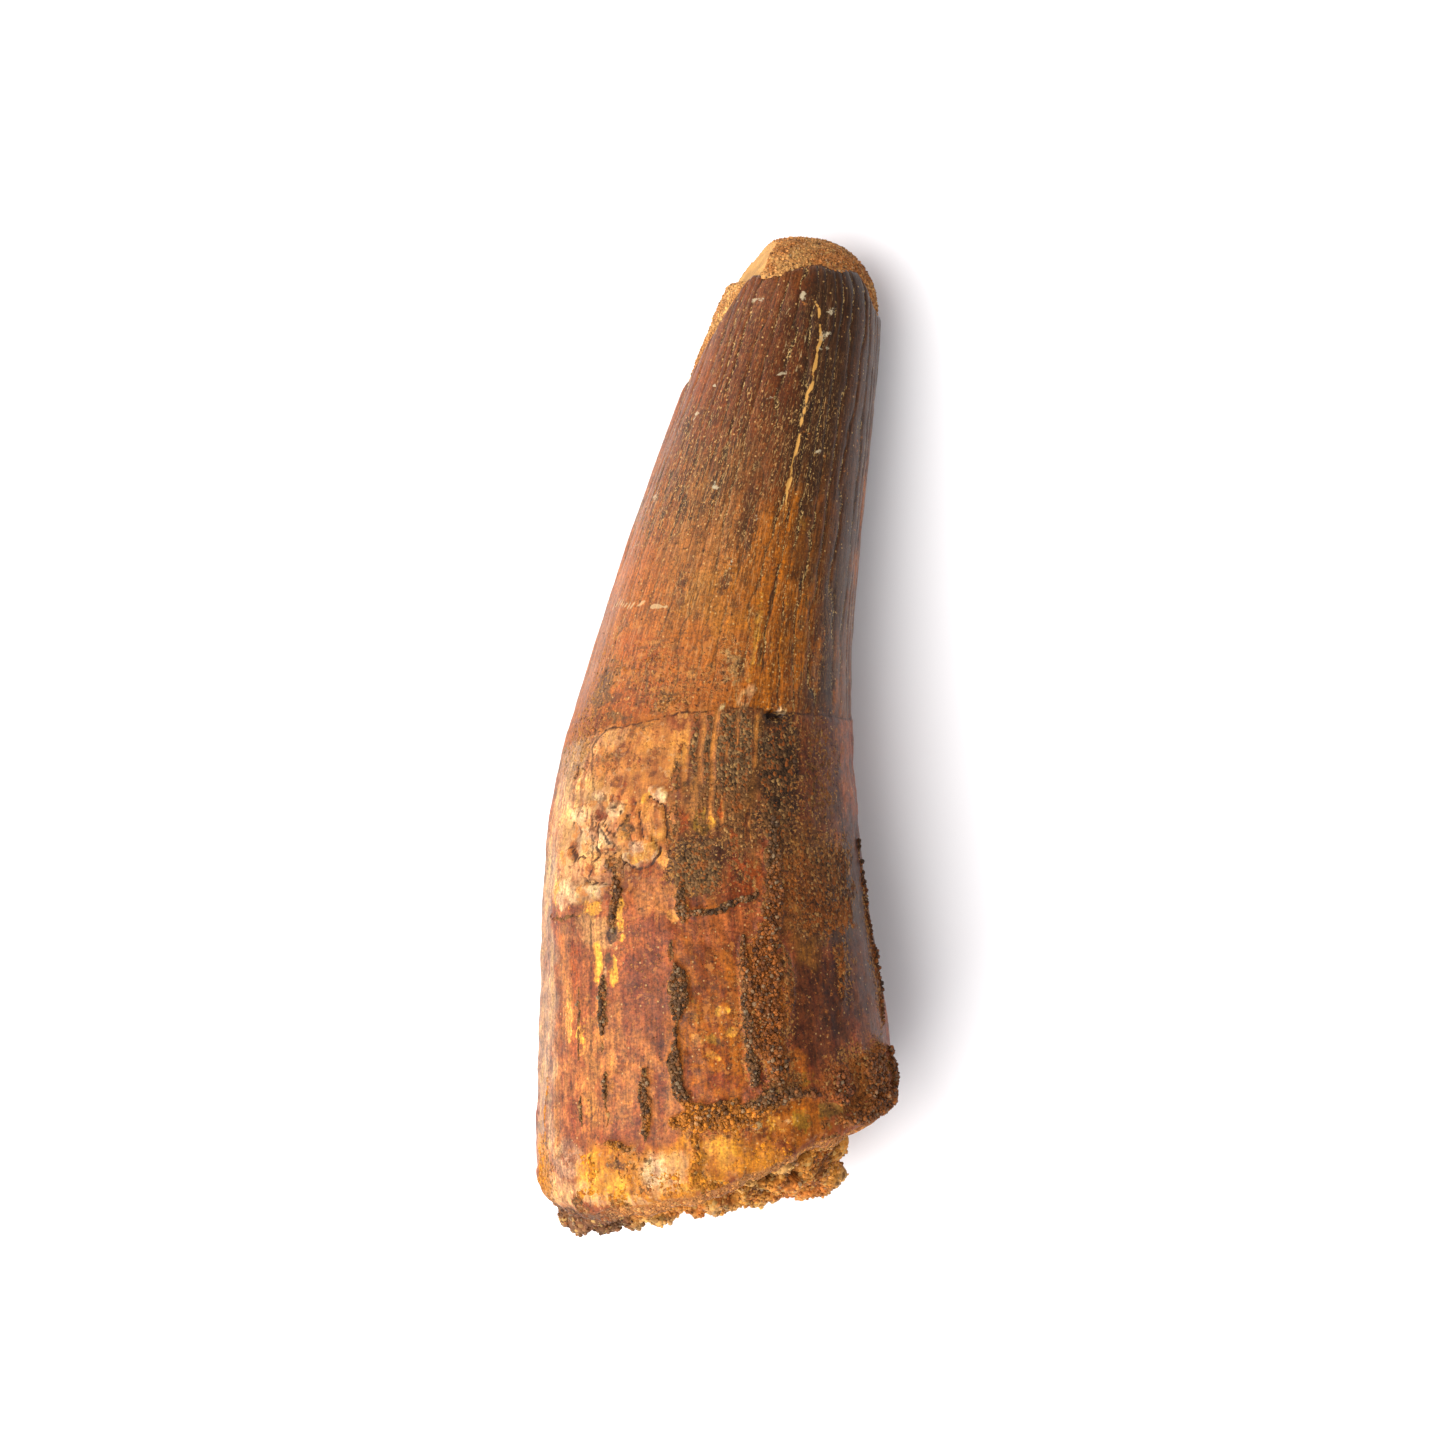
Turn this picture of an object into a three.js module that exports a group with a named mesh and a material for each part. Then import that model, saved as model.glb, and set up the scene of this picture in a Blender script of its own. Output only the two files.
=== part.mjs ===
// A fossil tooth of a large fish-eating dinosaur, lying on its flank as it rests on a shelf.
// Three separate pieces: the fluted crown, broken at both ends, the cap of sandstone that grips
// its broken tip, and the plug of sandstone that fills the open pulp cavity at its root end.
//
// Frame, in millimetres: +Y runs from the root end to the tip, +X is the inner side of the curve,
// +Z is up, and the origin lies under the middle of the tooth on the surface that it rests on.
import * as THREE from "three";

// Each row is a section across the crown: its place y, its outer curve's edge, its inner curve's
// edge, the height of its crest and the height of its belly before the belly is worn flat.
const SECTIONS = [
  [-43, -13.2, 15.3, 24.8, 0.6],
  [-36, -14.9, 15.0, 25.2, -0.35],
  [-29, -14.8, 14.5, 25.2, -0.5],
  [-22, -14.65, 13.65, 24.7, -0.5],
  [-15, -14.45, 12.5, 23.8, -0.4],
  [-8, -14.0, 11.6, 22.7, -0.1],
  [-1, -12.7, 11.15, 21.3, 0.2],
  [6, -10.6, 11.15, 19.8, 0.35],
  [13, -8.45, 11.65, 18.2, 0.35],
  [20, -6.1, 12.35, 16.6, 0.15],
  [27, -3.6, 13.1, 15.0, -0.15],
  [34, -0.95, 13.7, 13.4, -0.3],
  [41, 2.1, 13.7, 12.2, -0.2],
];
const SQUARENESS = 2.15; // exponent of the section's superellipse: 2 is a true ellipse
const DOME_START_Y = 36; // past this the tooth closes to a blunt end
const TIP_Y = 42;

// Angles run from the crest, 0, over the inner side, 90, and the belly, 180, to the outer side, 270.
// How far the broken root end reaches at each angle.
const ROOT_RIM = [
  [0, -36.7], [15, -35.0], [30, -33.5], [45, -32.7], [60, -31.8], [75, -30.3], [90, -29.6],
  [120, -31.2], [150, -34.6], [180, -37.6], [210, -39.6], [240, -39.6],
  [270, -38.4], [300, -38.9], [315, -38.9], [330, -38.4], [345, -37.8],
];
// How far the enamel reaches towards the broken tip at each angle.
const TIP_BREAK = [
  [0, 39.2], [15, 39.2], [25, 38.9], [45, 39.0], [54, 38.6], [63, 36.6], [75, 35.7], [90, 35.4],
  [135, 36.5], [180, 37.5], [225, 35.0], [250, 30.6], [270, 28.4], [284, 30.4], [299, 34.4],
  [309, 37.2], [316, 38.3], [330, 38.3], [345, 38.6],
];
const BREAK_MIDDLE_Y = 37.2; // the middle of the broken tip's face

const FLUTES = 36; // long enamel ridges round the crown
const FLUTE_HEIGHT = 0.12;
const FLUTES_FADE = [-14, 4]; // they are at full height past the second y, and faint before the first
const FAINT_FLUTES = 0.25; // as a share of the full height
const CARINAE = [88, 277]; // the two cutting edges, as angles
const CARINA_HEIGHT = 0.2;
const CARINA_WIDTH = 5; // degrees
const MENDED_CRACK_Y = 1.6; // a crack runs round the crown here, and the root side stands proud
const CRACK_STEP = 0.14;

const CRUST_GRAIN = 1.3; // the size of the bumps in what follows
// What stands proud of the crest side, or lies below it, seen from above: middle, reach and rise.
const CRUSTS = [
  { name: "corner crust", at: [12.4, -28.2], reach: [3.6, 4.6], rise: 0.75 },
  { name: "long ridge", at: [4.2, -20.3], reach: [2.2, 11.2], rise: 0.5 },
  { name: "root band", at: [1.5, -31.8], reach: [7.0, 2.4], rise: 0.5 },
  { name: "left vein", at: [-3.2, -25.1], reach: [0.9, 6.0], rise: 0.45 },
  { name: "cross vein", at: [0.2, -13.9], reach: [3.8, 1.1], rise: 0.4 },
  { name: "sandy belt", at: [1.5, -5.8], reach: [5.6, 7.2], rise: 0.3 },
  { name: "flaked patch", at: [-10.6, -9.3], reach: [5.0, 5.2], rise: -0.55 },
  { name: "side chip", at: [-14.8, -22.5], reach: [1.4, 2.2], rise: -0.4 },
  { name: "ochre rim", at: [-8.8, -36.5], reach: [6.0, 2.0], rise: 0.35 },
];

// The pulp cavity's wall, from its mouth in: shares of the crown's width, and depths past the rim.
const CAVITY_WALL = [[0.76, 0.4], [0.67, 4.3], [0.5, 8.5]];
const CAVITY_END = 9.5;
const LIP = { share: 0.9, ragged: 0.5, rounding: 0.3 }; // the broken edge of that wall
const SEAT_GAP = 0.3; // sandstone to tooth
const SEAT_GAP_SHARE = 0.022; // the same, as a share of the root end's half width

const SAND_INSET = 0.965; // the sand cap's width as a share of the enamel's
const SAND_LUMPS = 0.35;
const SAND_EDGE = 0.15; // how far its foot stands up before its dome begins
const DOME_LAST_RING = 78; // degrees up the dome
const BROKEN_FACE_SHARES = [0.45, 0.8]; // where rings lie across the broken tip

// The plug's outer face: its y on the axis, its slopes along x and up past a knee, and its lumps.
const PLUG_FACE = { y: -39.9, slopeX: 0.17, slopeZ: 0.14, knee: 10, lumps: 2.2, lumpSize: 2.6 };
// How far the plug spreads over the broken rim at each angle, as a share of the crown's width.
const PLUG_SPREAD = [
  [0, 0.8], [60, 0.78], [120, 0.8], [180, 0.86], [225, 0.93], [270, 0.93], [315, 0.92], [340, 0.84],
];
const PLUG_RINGS = [0.16, 0.32, 0.47, 0.61, 0.74, 0.86, 0.95, 1]; // shares of that spread
const PLUG_ROUNDING = 0.3; // the part of the spread over which its edge rounds off

// Where a flake has come off the cap's outer side: points past the plane, and above its foot, go.
const FLAKE_SCAR = { foot: 38.1, plane: new THREE.Plane(new THREE.Vector3(-0.81, 0.515, 0.276), -19.6) };

const SECTORS = 72; // two for each flute
const WALL_RINGS = 40;
const RING_CROWDING = 1.35; // above 1, the rings crowd towards the root end, where the relief is
const CAP_RINGS = 5;

const FINISHES = {
  tooth: { color: "#8a4e26", roughness: 0.4 },
  tip_sandstone: { color: "#b07c40", roughness: 0.95 },
  root_sandstone: { color: "#a8702f", roughness: 0.95 },
};

const { degToRad, radToDeg, lerp, smoothstep, clamp } = THREE.MathUtils;

// A smooth function through [place, value] pairs, listed in the order of their places.
function smoothThrough(pairs) {
  const curve = new THREE.SplineCurve(pairs.map(([place, value]) => new THREE.Vector2(place, value)));
  const HALVINGS = 22;
  return (place) => {
    let low = 0;
    let high = 1;
    for (let i = 0; i < HALVINGS; i++) {
      const middle = (low + high) / 2;
      if (curve.getPoint(middle).x < place) low = middle;
      else high = middle;
    }
    return curve.getPoint(low).y;
  };
}

// The same round the tooth, where the pairs are [degrees, value] and angles are in radians.
function smoothAround(pairs) {
  const turned = (turn) => pairs.map(([degrees, value]) => [degrees + turn, value]);
  const value = smoothThrough([...turned(-360), ...turned(0), ...turned(360)]);
  return (angle) => value(THREE.MathUtils.euclideanModulo(radToDeg(angle), 360));
}

const column = (n) => smoothThrough(SECTIONS.map((section) => [section[0], section[n]]));
const outerEdge = column(1);
const innerEdge = column(2);
const crest = column(3);
const belly = column(4);
const rootRim = smoothAround(ROOT_RIM);
const tipBreak = smoothAround(TIP_BREAK);
const plugSpread = smoothAround(PLUG_SPREAD);

// Smooth noise from 0 to 1, one lump for each whole number of its coordinates.
function noise(x, y, z) {
  const cell = [x, y, z].map(Math.floor);
  const [u, v, w] = [x, y, z].map((c, i) => smoothstep(c - cell[i], 0, 1));
  const corner = (i, j, k) => {
    const scattered = (cell[0] + i) * 127.1 + (cell[1] + j) * 311.7 + (cell[2] + k) * 74.7;
    const wave = Math.sin(scattered) * 43758.5453;
    return wave - Math.floor(wave);
  };
  const edge = (j, k) => lerp(corner(0, j, k), corner(1, j, k), u);
  return lerp(lerp(edge(0, 0), edge(1, 0), v), lerp(edge(0, 1), edge(1, 1), v), w);
}

// The point at a share of the way from the section's middle to its outline, pushed out by a rise.
function onSection(share, angle, y, rise = 0) {
  const past = clamp((y - DOME_START_Y) / (TIP_Y - DOME_START_Y), 0, 1);
  const closing = share * Math.sqrt(1 - past * past);
  const halfWidth = (innerEdge(y) - outerEdge(y)) / 2;
  const halfHeight = (crest(y) - belly(y)) / 2;
  const bulge = (c) => Math.sign(c) * Math.abs(c) ** (2 / SQUARENESS);
  return new THREE.Vector3(
    innerEdge(y) - halfWidth + closing * (halfWidth + rise) * bulge(Math.sin(angle)),
    y,
    belly(y) + halfHeight + closing * (halfHeight + rise) * bulge(Math.cos(angle)),
  );
}

// How far the crust or the flaking lifts the surface at a point of the crest side.
function crustRise({ x, y, z }) {
  const grain = 0.45 + 1.1 * noise(x / CRUST_GRAIN, y / CRUST_GRAIN, z / CRUST_GRAIN);
  return CRUSTS.reduce((sum, { at, reach, rise }) => {
    const away = Math.hypot((x - at[0]) / reach[0], (y - at[1]) / reach[1]);
    return sum + rise * grain * (1 - smoothstep(away, 0.7, 1.1));
  }, 0);
}

// How far the enamel stands out from the plain section.
function enamelRise(angle, y) {
  const fading = lerp(FAINT_FLUTES, 1, smoothstep(y, ...FLUTES_FADE));
  const flutes = FLUTE_HEIGHT * Math.cos(FLUTES * angle) * fading;
  const carinae = CARINAE.reduce((sum, at) => {
    const away = Math.abs(THREE.MathUtils.euclideanModulo(radToDeg(angle) - at + 180, 360) - 180);
    return sum + CARINA_HEIGHT * Math.exp(-((away / CARINA_WIDTH) ** 2));
  }, 0);
  const step = y < MENDED_CRACK_Y ? CRACK_STEP : 0;
  const onCrestSide = smoothstep(Math.cos(angle), -0.25, 0.1);
  return flutes + carinae + step + onCrestSide * crustRise(onSection(1, angle, y));
}

// The belly is worn flat where the tooth rests.
function worn(point) {
  point.z = Math.max(point.z, 0);
  return point;
}

// A closed solid through rings, each a function from the angle to a point. The end ones are on the axis.
function loft(name, rings) {
  const profile = rings.map((_, i) => new THREE.Vector2(i === 0 || i === rings.length - 1 ? 0 : 1, i));
  const geometry = new THREE.LatheGeometry(profile, SECTORS);
  const position = geometry.getAttribute("position");
  for (let n = 0; n < position.count; n++) {
    const angle = Math.atan2(position.getX(n), position.getZ(n));
    const point = worn(rings[Math.round(position.getY(n))](angle));
    position.setXYZ(n, point.x, point.y, point.z);
  }
  geometry.computeVertexNormals();
  const mesh = new THREE.Mesh(geometry, new THREE.MeshStandardMaterial({ metalness: 0, ...FINISHES[name] }));
  mesh.name = name;
  return mesh;
}

const range = (count) => Array.from({ length: count }, (_, i) => i);

// The crown: down the pulp cavity's wall, over the broken rim, up the enamel and across the broken tip.
function tooth() {
  const cavityEnd = () => onSection(0, 0, rootRim(0) + CAVITY_END);
  const cavity = CAVITY_WALL.map(([share, depth]) => (angle) => {
    return onSection(share, angle, rootRim(angle) + depth);
  });
  const lip = (angle) => {
    const ragged = LIP.ragged * (noise(9 * Math.sin(angle), 9 * Math.cos(angle), 0) - 0.5);
    return onSection(LIP.share, angle, rootRim(angle) + ragged);
  };
  const enamel = range(WALL_RINGS).map((i) => (angle) => {
    const y = lerp(rootRim(angle), tipBreak(angle), (i / (WALL_RINGS - 1)) ** RING_CROWDING);
    const rounding = i === 0 ? LIP.rounding : 0;
    return onSection(1, angle, y, enamelRise(angle, y) - rounding);
  });
  const face = BROKEN_FACE_SHARES.map((share) => (angle) => {
    return onSection(share, angle, brokenFace(share, angle));
  });
  const faceMiddle = () => onSection(0, 0, BREAK_MIDDLE_Y);
  return loft("tooth", [cavityEnd, ...cavity.reverse(), lip, ...enamel, ...face.reverse(), faceMiddle]);
}

// The broken tip's face, as y at a share of the way out to the enamel's edge.
function brokenFace(share, angle) {
  return lerp(BREAK_MIDDLE_Y, tipBreak(angle), share);
}

// The sandstone cap: across the broken face, then up its own blunt dome.
function tipSandstone() {
  const seatY = (share, angle) => brokenFace(share, angle) + SEAT_GAP;
  const seat = (share) => (angle) => onSection(share, angle, seatY(share, angle));
  const dome = range(CAP_RINGS).map((i) => (angle) => {
    const foot = seatY(SAND_INSET, angle) + SAND_EDGE;
    const y = lerp(foot, TIP_Y, Math.sin(degToRad((i * DOME_LAST_RING) / (CAP_RINGS - 1))));
    const lump = SAND_LUMPS * (noise(3 * Math.sin(angle), y, 3 * Math.cos(angle)) - 0.5);
    return flaked(onSection(SAND_INSET, angle, y, lump));
  });
  const seatMiddle = () => onSection(0, 0, BREAK_MIDDLE_Y + SEAT_GAP);
  const apex = () => onSection(0, 0, TIP_Y);
  const seats = [...BROKEN_FACE_SHARES, SAND_INSET].map(seat);
  return loft("tip_sandstone", [seatMiddle, ...seats, ...dome, apex]);
}

// Brings a point of the cap that lies past the flake scar's plane back to it.
function flaked(point) {
  const past = FLAKE_SCAR.plane.distanceToPoint(point);
  if (point.y > FLAKE_SCAR.foot && past > 0) point.addScaledVector(FLAKE_SCAR.plane.normal, -past);
  return point;
}

// The sandstone plug: out over its lumpy face, in past the broken rim, and up the cavity's wall.
function rootSandstone() {
  const face = PLUG_RINGS.map((ring) => (angle) => plugFace(ring, angle));
  const overRim = (angle) => onSection(plugSpread(angle), angle, rootRim(angle) - 2 * SEAT_GAP);
  const wall = CAVITY_WALL.map(([share, depth]) => (angle) => {
    return onSection(share - SEAT_GAP_SHARE, angle, rootRim(angle) + depth - SEAT_GAP);
  });
  const inner = () => onSection(0, 0, rootRim(0) + CAVITY_END - SEAT_GAP);
  return loft("root_sandstone", [() => plugFace(0, 0), ...face, overRim, ...wall, inner]);
}

// A point of the plug's outer face, which rounds off from its lumps to its edge just past the rim.
function plugFace(ring, angle) {
  const share = ring * plugSpread(angle);
  const edgeY = rootRim(angle) - 3 * SEAT_GAP;
  const { x, z } = onSection(share, angle, edgeY);
  const lump = noise(x / PLUG_FACE.lumpSize + 7, 0, z / PLUG_FACE.lumpSize) - 0.4;
  const plane = PLUG_FACE.y + PLUG_FACE.slopeX * x + PLUG_FACE.slopeZ * Math.max(z - PLUG_FACE.knee, 0);
  const inFromEdge = clamp((1 - ring) / PLUG_ROUNDING, 0, 1);
  const faceY = Math.min(plane - PLUG_FACE.lumps * lump, edgeY);
  return onSection(share, angle, lerp(edgeY, faceY, Math.sin((inFromEdge * Math.PI) / 2)));
}

const fossil = new THREE.Group();
fossil.add(tooth(), tipSandstone(), rootSandstone());

export default fossil;
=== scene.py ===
"""A fossil dinosaur tooth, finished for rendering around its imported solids.

The crown, the sandstone on its broken tip and the sandstone in its root end are each lofted through
the same sections as their solids, and given their fine relief, their stains and their sand grains.
Lengths are millimetres until a mesh is made. +Y runs to the tip, +X to the curve's inner side, +Z up.
"""

import itertools
import math

import bpy
import numpy as np
from bpy.props import FloatProperty, FloatVectorProperty, IntProperty, PointerProperty
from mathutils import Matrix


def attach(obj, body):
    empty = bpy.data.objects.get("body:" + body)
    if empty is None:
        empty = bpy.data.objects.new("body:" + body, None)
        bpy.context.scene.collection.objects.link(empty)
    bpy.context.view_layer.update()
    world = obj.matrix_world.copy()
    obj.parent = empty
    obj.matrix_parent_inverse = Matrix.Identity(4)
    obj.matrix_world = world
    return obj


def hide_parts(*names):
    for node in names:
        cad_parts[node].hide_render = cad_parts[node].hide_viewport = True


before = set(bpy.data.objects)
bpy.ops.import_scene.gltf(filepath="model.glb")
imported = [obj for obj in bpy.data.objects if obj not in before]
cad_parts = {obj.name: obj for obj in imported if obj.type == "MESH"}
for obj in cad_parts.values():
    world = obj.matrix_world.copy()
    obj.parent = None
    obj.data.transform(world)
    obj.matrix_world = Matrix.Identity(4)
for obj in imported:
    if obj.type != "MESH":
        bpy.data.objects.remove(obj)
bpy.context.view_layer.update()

bl_info = {
    "name": "Fossil Dinosaur Tooth",
    "version": (1, 0, 0),
    "blender": (4, 5, 0),
    "location": "3D View > Sidebar > Fossil",
    "description": "Builds a fluted fossil tooth with sandstone at both ends, and its studio stage",
    "category": "Object",
}

MM = 0.001  # metres in a millimetre

# ---------------------------------------------------------------------------------------------
# The form: the same driving sizes as the solids.

# Each row is a section across the crown: its place y, its outer curve's edge, its inner curve's
# edge, the height of its crest and the height of its belly before the belly is worn flat.
SECTIONS = [
    (-43, -13.2, 15.3, 24.8, 0.6),
    (-36, -14.9, 15.0, 25.2, -0.35),
    (-29, -14.8, 14.5, 25.2, -0.5),
    (-22, -14.65, 13.65, 24.7, -0.5),
    (-15, -14.45, 12.5, 23.8, -0.4),
    (-8, -14.0, 11.6, 22.7, -0.1),
    (-1, -12.7, 11.15, 21.3, 0.2),
    (6, -10.6, 11.15, 19.8, 0.35),
    (13, -8.45, 11.65, 18.2, 0.35),
    (20, -6.1, 12.35, 16.6, 0.15),
    (27, -3.6, 13.1, 15.0, -0.15),
    (34, -0.95, 13.7, 13.4, -0.3),
    (41, 2.1, 13.7, 12.2, -0.2),
]
SQUARENESS = 2.15  # exponent of the section's superellipse: 2 is a true ellipse
DOME_START_Y, TIP_Y = 36.0, 42.0
FULL_SHOULDER, FULL_SHOULDER_AT = 1.6, math.radians(300)  # the tip is squarer on its outer side

# Angles run from the crest, 0, over the inner side, 90, the belly, 180, to the outer side, 270.
ROOT_RIM = [
    (0, -36.7), (15, -35.0), (30, -33.5), (45, -32.7), (60, -31.8), (75, -30.3), (90, -29.6),
    (120, -31.2), (150, -34.6), (180, -37.6), (210, -39.6), (240, -39.6),
    (270, -38.4), (300, -38.9), (315, -38.9), (330, -38.4), (345, -37.8),
]
TIP_BREAK = [
    (0, 39.2), (15, 39.2), (25, 38.9), (45, 39.0), (54, 38.6), (63, 36.6), (75, 35.7), (90, 35.4),
    (135, 36.5), (180, 37.5), (225, 35.0), (250, 30.6), (270, 28.4), (284, 30.4), (299, 34.4),
    (309, 37.2), (316, 38.3), (330, 38.3), (345, 38.6),
]
BREAK_MIDDLE_Y = 37.2
CAVITY_WALL = [(0.76, 0.4), (0.67, 4.3), (0.5, 8.5)]  # shares of the width, depths past the rim
CARINAE = (88, 277)  # the two cutting edges, in degrees
MENDED_CRACK = [(-13, -1.2), (-9.5, 0.1), (-7.5, 0.7), (-5, 1.2), (-3, 1.6), (-1, 1.8), (0.5, 2.1),
                (3.5, 2.1), (4.3, 1.7), (5.9, 1.7), (8, 1.6), (11.4, 1.2)]

# The plug's outer face: its y on the axis, its slopes along x and up past a knee.
PLUG_FACE_Y, PLUG_SLOPE_X, PLUG_SLOPE_Z, PLUG_KNEE_Z = -39.9, 0.17, 0.14, 10.0
PLUG_SPREAD = [
    (0, 0.8), (60, 0.78), (120, 0.8), (180, 0.86), (225, 0.95), (270, 0.97), (315, 0.94), (340, 0.84),
]
# Hollows in the plug's face: seen place, reach, depth.
PLUG_PITS = [
    ((4.6, -36.5), (0.7, 0.5), 1.2), ((1.4, -38.0), (0.7, 0.5), 1.1), ((4.1, -38.2), (1.2, 0.4), 0.8),
    ((8.5, -34.5), (0.6, 0.4), 0.8), ((-1.5, -39.3), (0.9, 0.35), 0.7), ((6.8, -36.6), (0.8, 0.35), 0.7),
    ((2.6, -36.9), (1.2, 0.3), 0.7), ((-4.4, -39.6), (0.8, 0.3), 0.6),
]
PIT_LEAST_Z = 8
FLAKE_SCAR_FOOT = 38.1
FLAKE_SCAR_NORMAL, FLAKE_SCAR_PLACE = np.array([-0.81, 0.552, 0.2]), 20.65

# Marks are listed where they are seen from straight above, from this far over the outline's level.
VIEW_HEIGHT, OUTLINE_LEVEL = 404.6, 11.0
VIEW_CENTRE = (0.46, 0.92)
WINDOW_PLACE, WINDOW_SIZE = (-0.47, -0.18, 0.76), 0.9  # metres
FLOOR_SIZE, FLOOR_LEVEL = 3.0, -0.00002  # metres: the floor lies just under the worn belly
CAMERA_LENS, CAMERA_SENSOR = 120, 36


def srgb(code):
    """An sRGB hex value as linear red, green and blue."""
    parts = [int(code[i:i + 2], 16) / 255 for i in (1, 3, 5)]
    return tuple(p / 12.92 if p <= 0.04045 else ((p + 0.055) / 1.055) ** 2.4 for p in parts)


def smoothstep(low, high, value):
    t = np.clip((value - low) / (high - low), 0, 1)
    return t * t * (3 - 2 * t)


def smooth_through(points):
    """A smooth function through (place, value) points, listed in the order of their places."""
    place, value = np.array(points, float).T
    slope = np.gradient(value, place)

    def at(x):
        x = np.clip(x, place[0], place[-1])
        i = np.clip(np.searchsorted(place, x) - 1, 0, len(place) - 2)
        gap = place[i + 1] - place[i]
        t = (x - place[i]) / gap
        rising = t * t * (3 - 2 * t)
        bend = t * (1 - t) * gap * ((1 - t) * slope[i] - t * slope[i + 1])
        return value[i] * (1 - rising) + value[i + 1] * rising + bend

    return at


def smooth_around(points):
    """The same round the tooth, for (degrees, value) points and angles in radians."""
    turns = [(degrees + turn, value) for turn in (-360, 0, 360) for degrees, value in points]
    at = smooth_through(turns)
    return lambda angle: at(np.degrees(angle) % 360)


outer_edge, inner_edge, crest, belly = (
    smooth_through([(row[0], row[n]) for row in SECTIONS]) for n in (1, 2, 3, 4)
)
root_rim, tip_break, plug_spread = map(smooth_around, (ROOT_RIM, TIP_BREAK, PLUG_SPREAD))


def section(y):
    """Middle x, half width, middle z and half height of the crown at y."""
    return (
        (inner_edge(y) + outer_edge(y)) / 2, (inner_edge(y) - outer_edge(y)) / 2,
        (crest(y) + belly(y)) / 2, (crest(y) - belly(y)) / 2,
    )


def on_section(share, angle, y, rise=0.0):
    """Points at a share of the way from a section's middle to its outline, pushed out by a rise."""
    past = np.clip((y - DOME_START_Y) / (TIP_Y - DOME_START_Y), 0, 1)
    fullness = 2 + FULL_SHOULDER * np.exp(-((np.cos(angle - FULL_SHOULDER_AT) - 1) / 0.35) ** 2)
    closing = share * (1 - past**fullness) ** (1 / fullness)
    middle_x, half_width, middle_z, half_height = section(y)
    side, up = (np.sign(c) * np.abs(c) ** (2 / SQUARENESS) for c in (np.sin(angle), np.cos(angle)))
    x = middle_x + closing * (half_width + rise) * side
    z = middle_z + closing * (half_height + rise) * up
    return np.stack(np.broadcast_arrays(x, y, z), axis=-1)


def unrolled(seen_x, seen_y):
    """Where a mark seen from above lies: how far round from the crest, and y; and the slant there."""
    x, y = seen_x, seen_y
    for _ in range(4):
        middle_x, half_width, middle_z, half_height = section(y)
        across = np.clip((x - middle_x) / half_width, -0.985, 0.985)
        angle = math.asin(math.copysign(abs(across) ** (SQUARENESS / 2), across))
        height = middle_z + half_height * math.cos(angle) ** (2 / SQUARENESS)
        nearing = (VIEW_HEIGHT - height + OUTLINE_LEVEL) / VIEW_HEIGHT
        x = VIEW_CENTRE[0] + (seen_x - VIEW_CENTRE[0]) * nearing
        y = VIEW_CENTRE[1] + (seen_y - VIEW_CENTRE[1]) * nearing
    return half_width * angle, y, max(math.cos(angle), 0.4)


# ---------------------------------------------------------------------------------------------
# Patterns that are the same each time.

TURN = np.linalg.qr([[3.0, 1, 2], [-1, 4, 1], [-2, -1, 5]])[0]  # turns lattices off the axes


def scattered(cell, salt):
    """A value from 0 to 1 for each whole-numbered cell."""
    mixed = cell[0] * np.uint32(73856093) ^ cell[1] * np.uint32(19349663) ^ cell[2] * np.uint32(83492791)
    mixed = (mixed + np.uint32(7919 * salt + 17)) * np.uint32(1274126177)
    mixed = (mixed ^ mixed >> np.uint32(15)) * np.uint32(2246822519)
    return (mixed ^ mixed >> np.uint32(13)).astype(np.float32) / np.float32(2**32)


def in_lattice(points, size):
    """Points as places in a turned lattice: their cell, and how far they are into it."""
    place = np.moveaxis(points @ TURN / size, -1, 0)
    cell = np.floor(place)
    return cell.astype(np.int64).astype(np.uint32), (place - cell).astype(np.float32)


def noise(points, size, salt=0):
    """Smooth noise from 0 to 1, in lumps of a size."""
    cell, t = in_lattice(points, size)
    t = t * t * (3 - 2 * t)
    total = 0
    for corner in itertools.product((0, 1), repeat=3):
        weight = 1
        for axis, step in enumerate(corner):
            weight = weight * (t[axis] if step else 1 - t[axis])
        total = total + weight * scattered([cell[n] + np.uint32(corner[n]) for n in range(3)], salt)
    return total


def rough_noise(points, size, salt=0, octaves=4):
    """Noise from 0 to 1 with finer noise on it, each octave half as coarse and weaker."""
    total = shares = 0
    for n in range(octaves):
        total = total + 0.55**n * noise(points, size * 0.5**n, salt * 11 + n)
        shares += 0.55**n
        points = points @ TURN
    return np.clip(0.5 + 1.35 * (total / shares - 0.5), 0, 1)


def cells(points, size, salt=0):
    """Each point's nearest of some scattered seeds: distance, room to the next, and a value."""
    home, t = in_lattice(points, size)
    nearest = np.full(points.shape[:-1], 9.0, np.float32)
    second, value = nearest.copy(), nearest.copy()
    for offset in itertools.product((-1, 0, 1), repeat=3):
        cell = [home[n] + np.uint32(offset[n] & 0xFFFFFFFF) for n in range(3)]
        away = np.sqrt(sum((offset[n] + scattered(cell, salt * 5 + n) - t[n]) ** 2 for n in range(3)))
        closer = away < nearest
        second = np.where(closer, nearest, np.minimum(second, away))
        value = np.where(closer, scattered(cell, salt * 5 + 3), value)
        nearest = np.where(closer, away, nearest)
    return nearest * size, (second - nearest) * size, value


# ---------------------------------------------------------------------------------------------
# What is painted and raised on the crown. Places are seen from above: x, y in millimetres.

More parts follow.
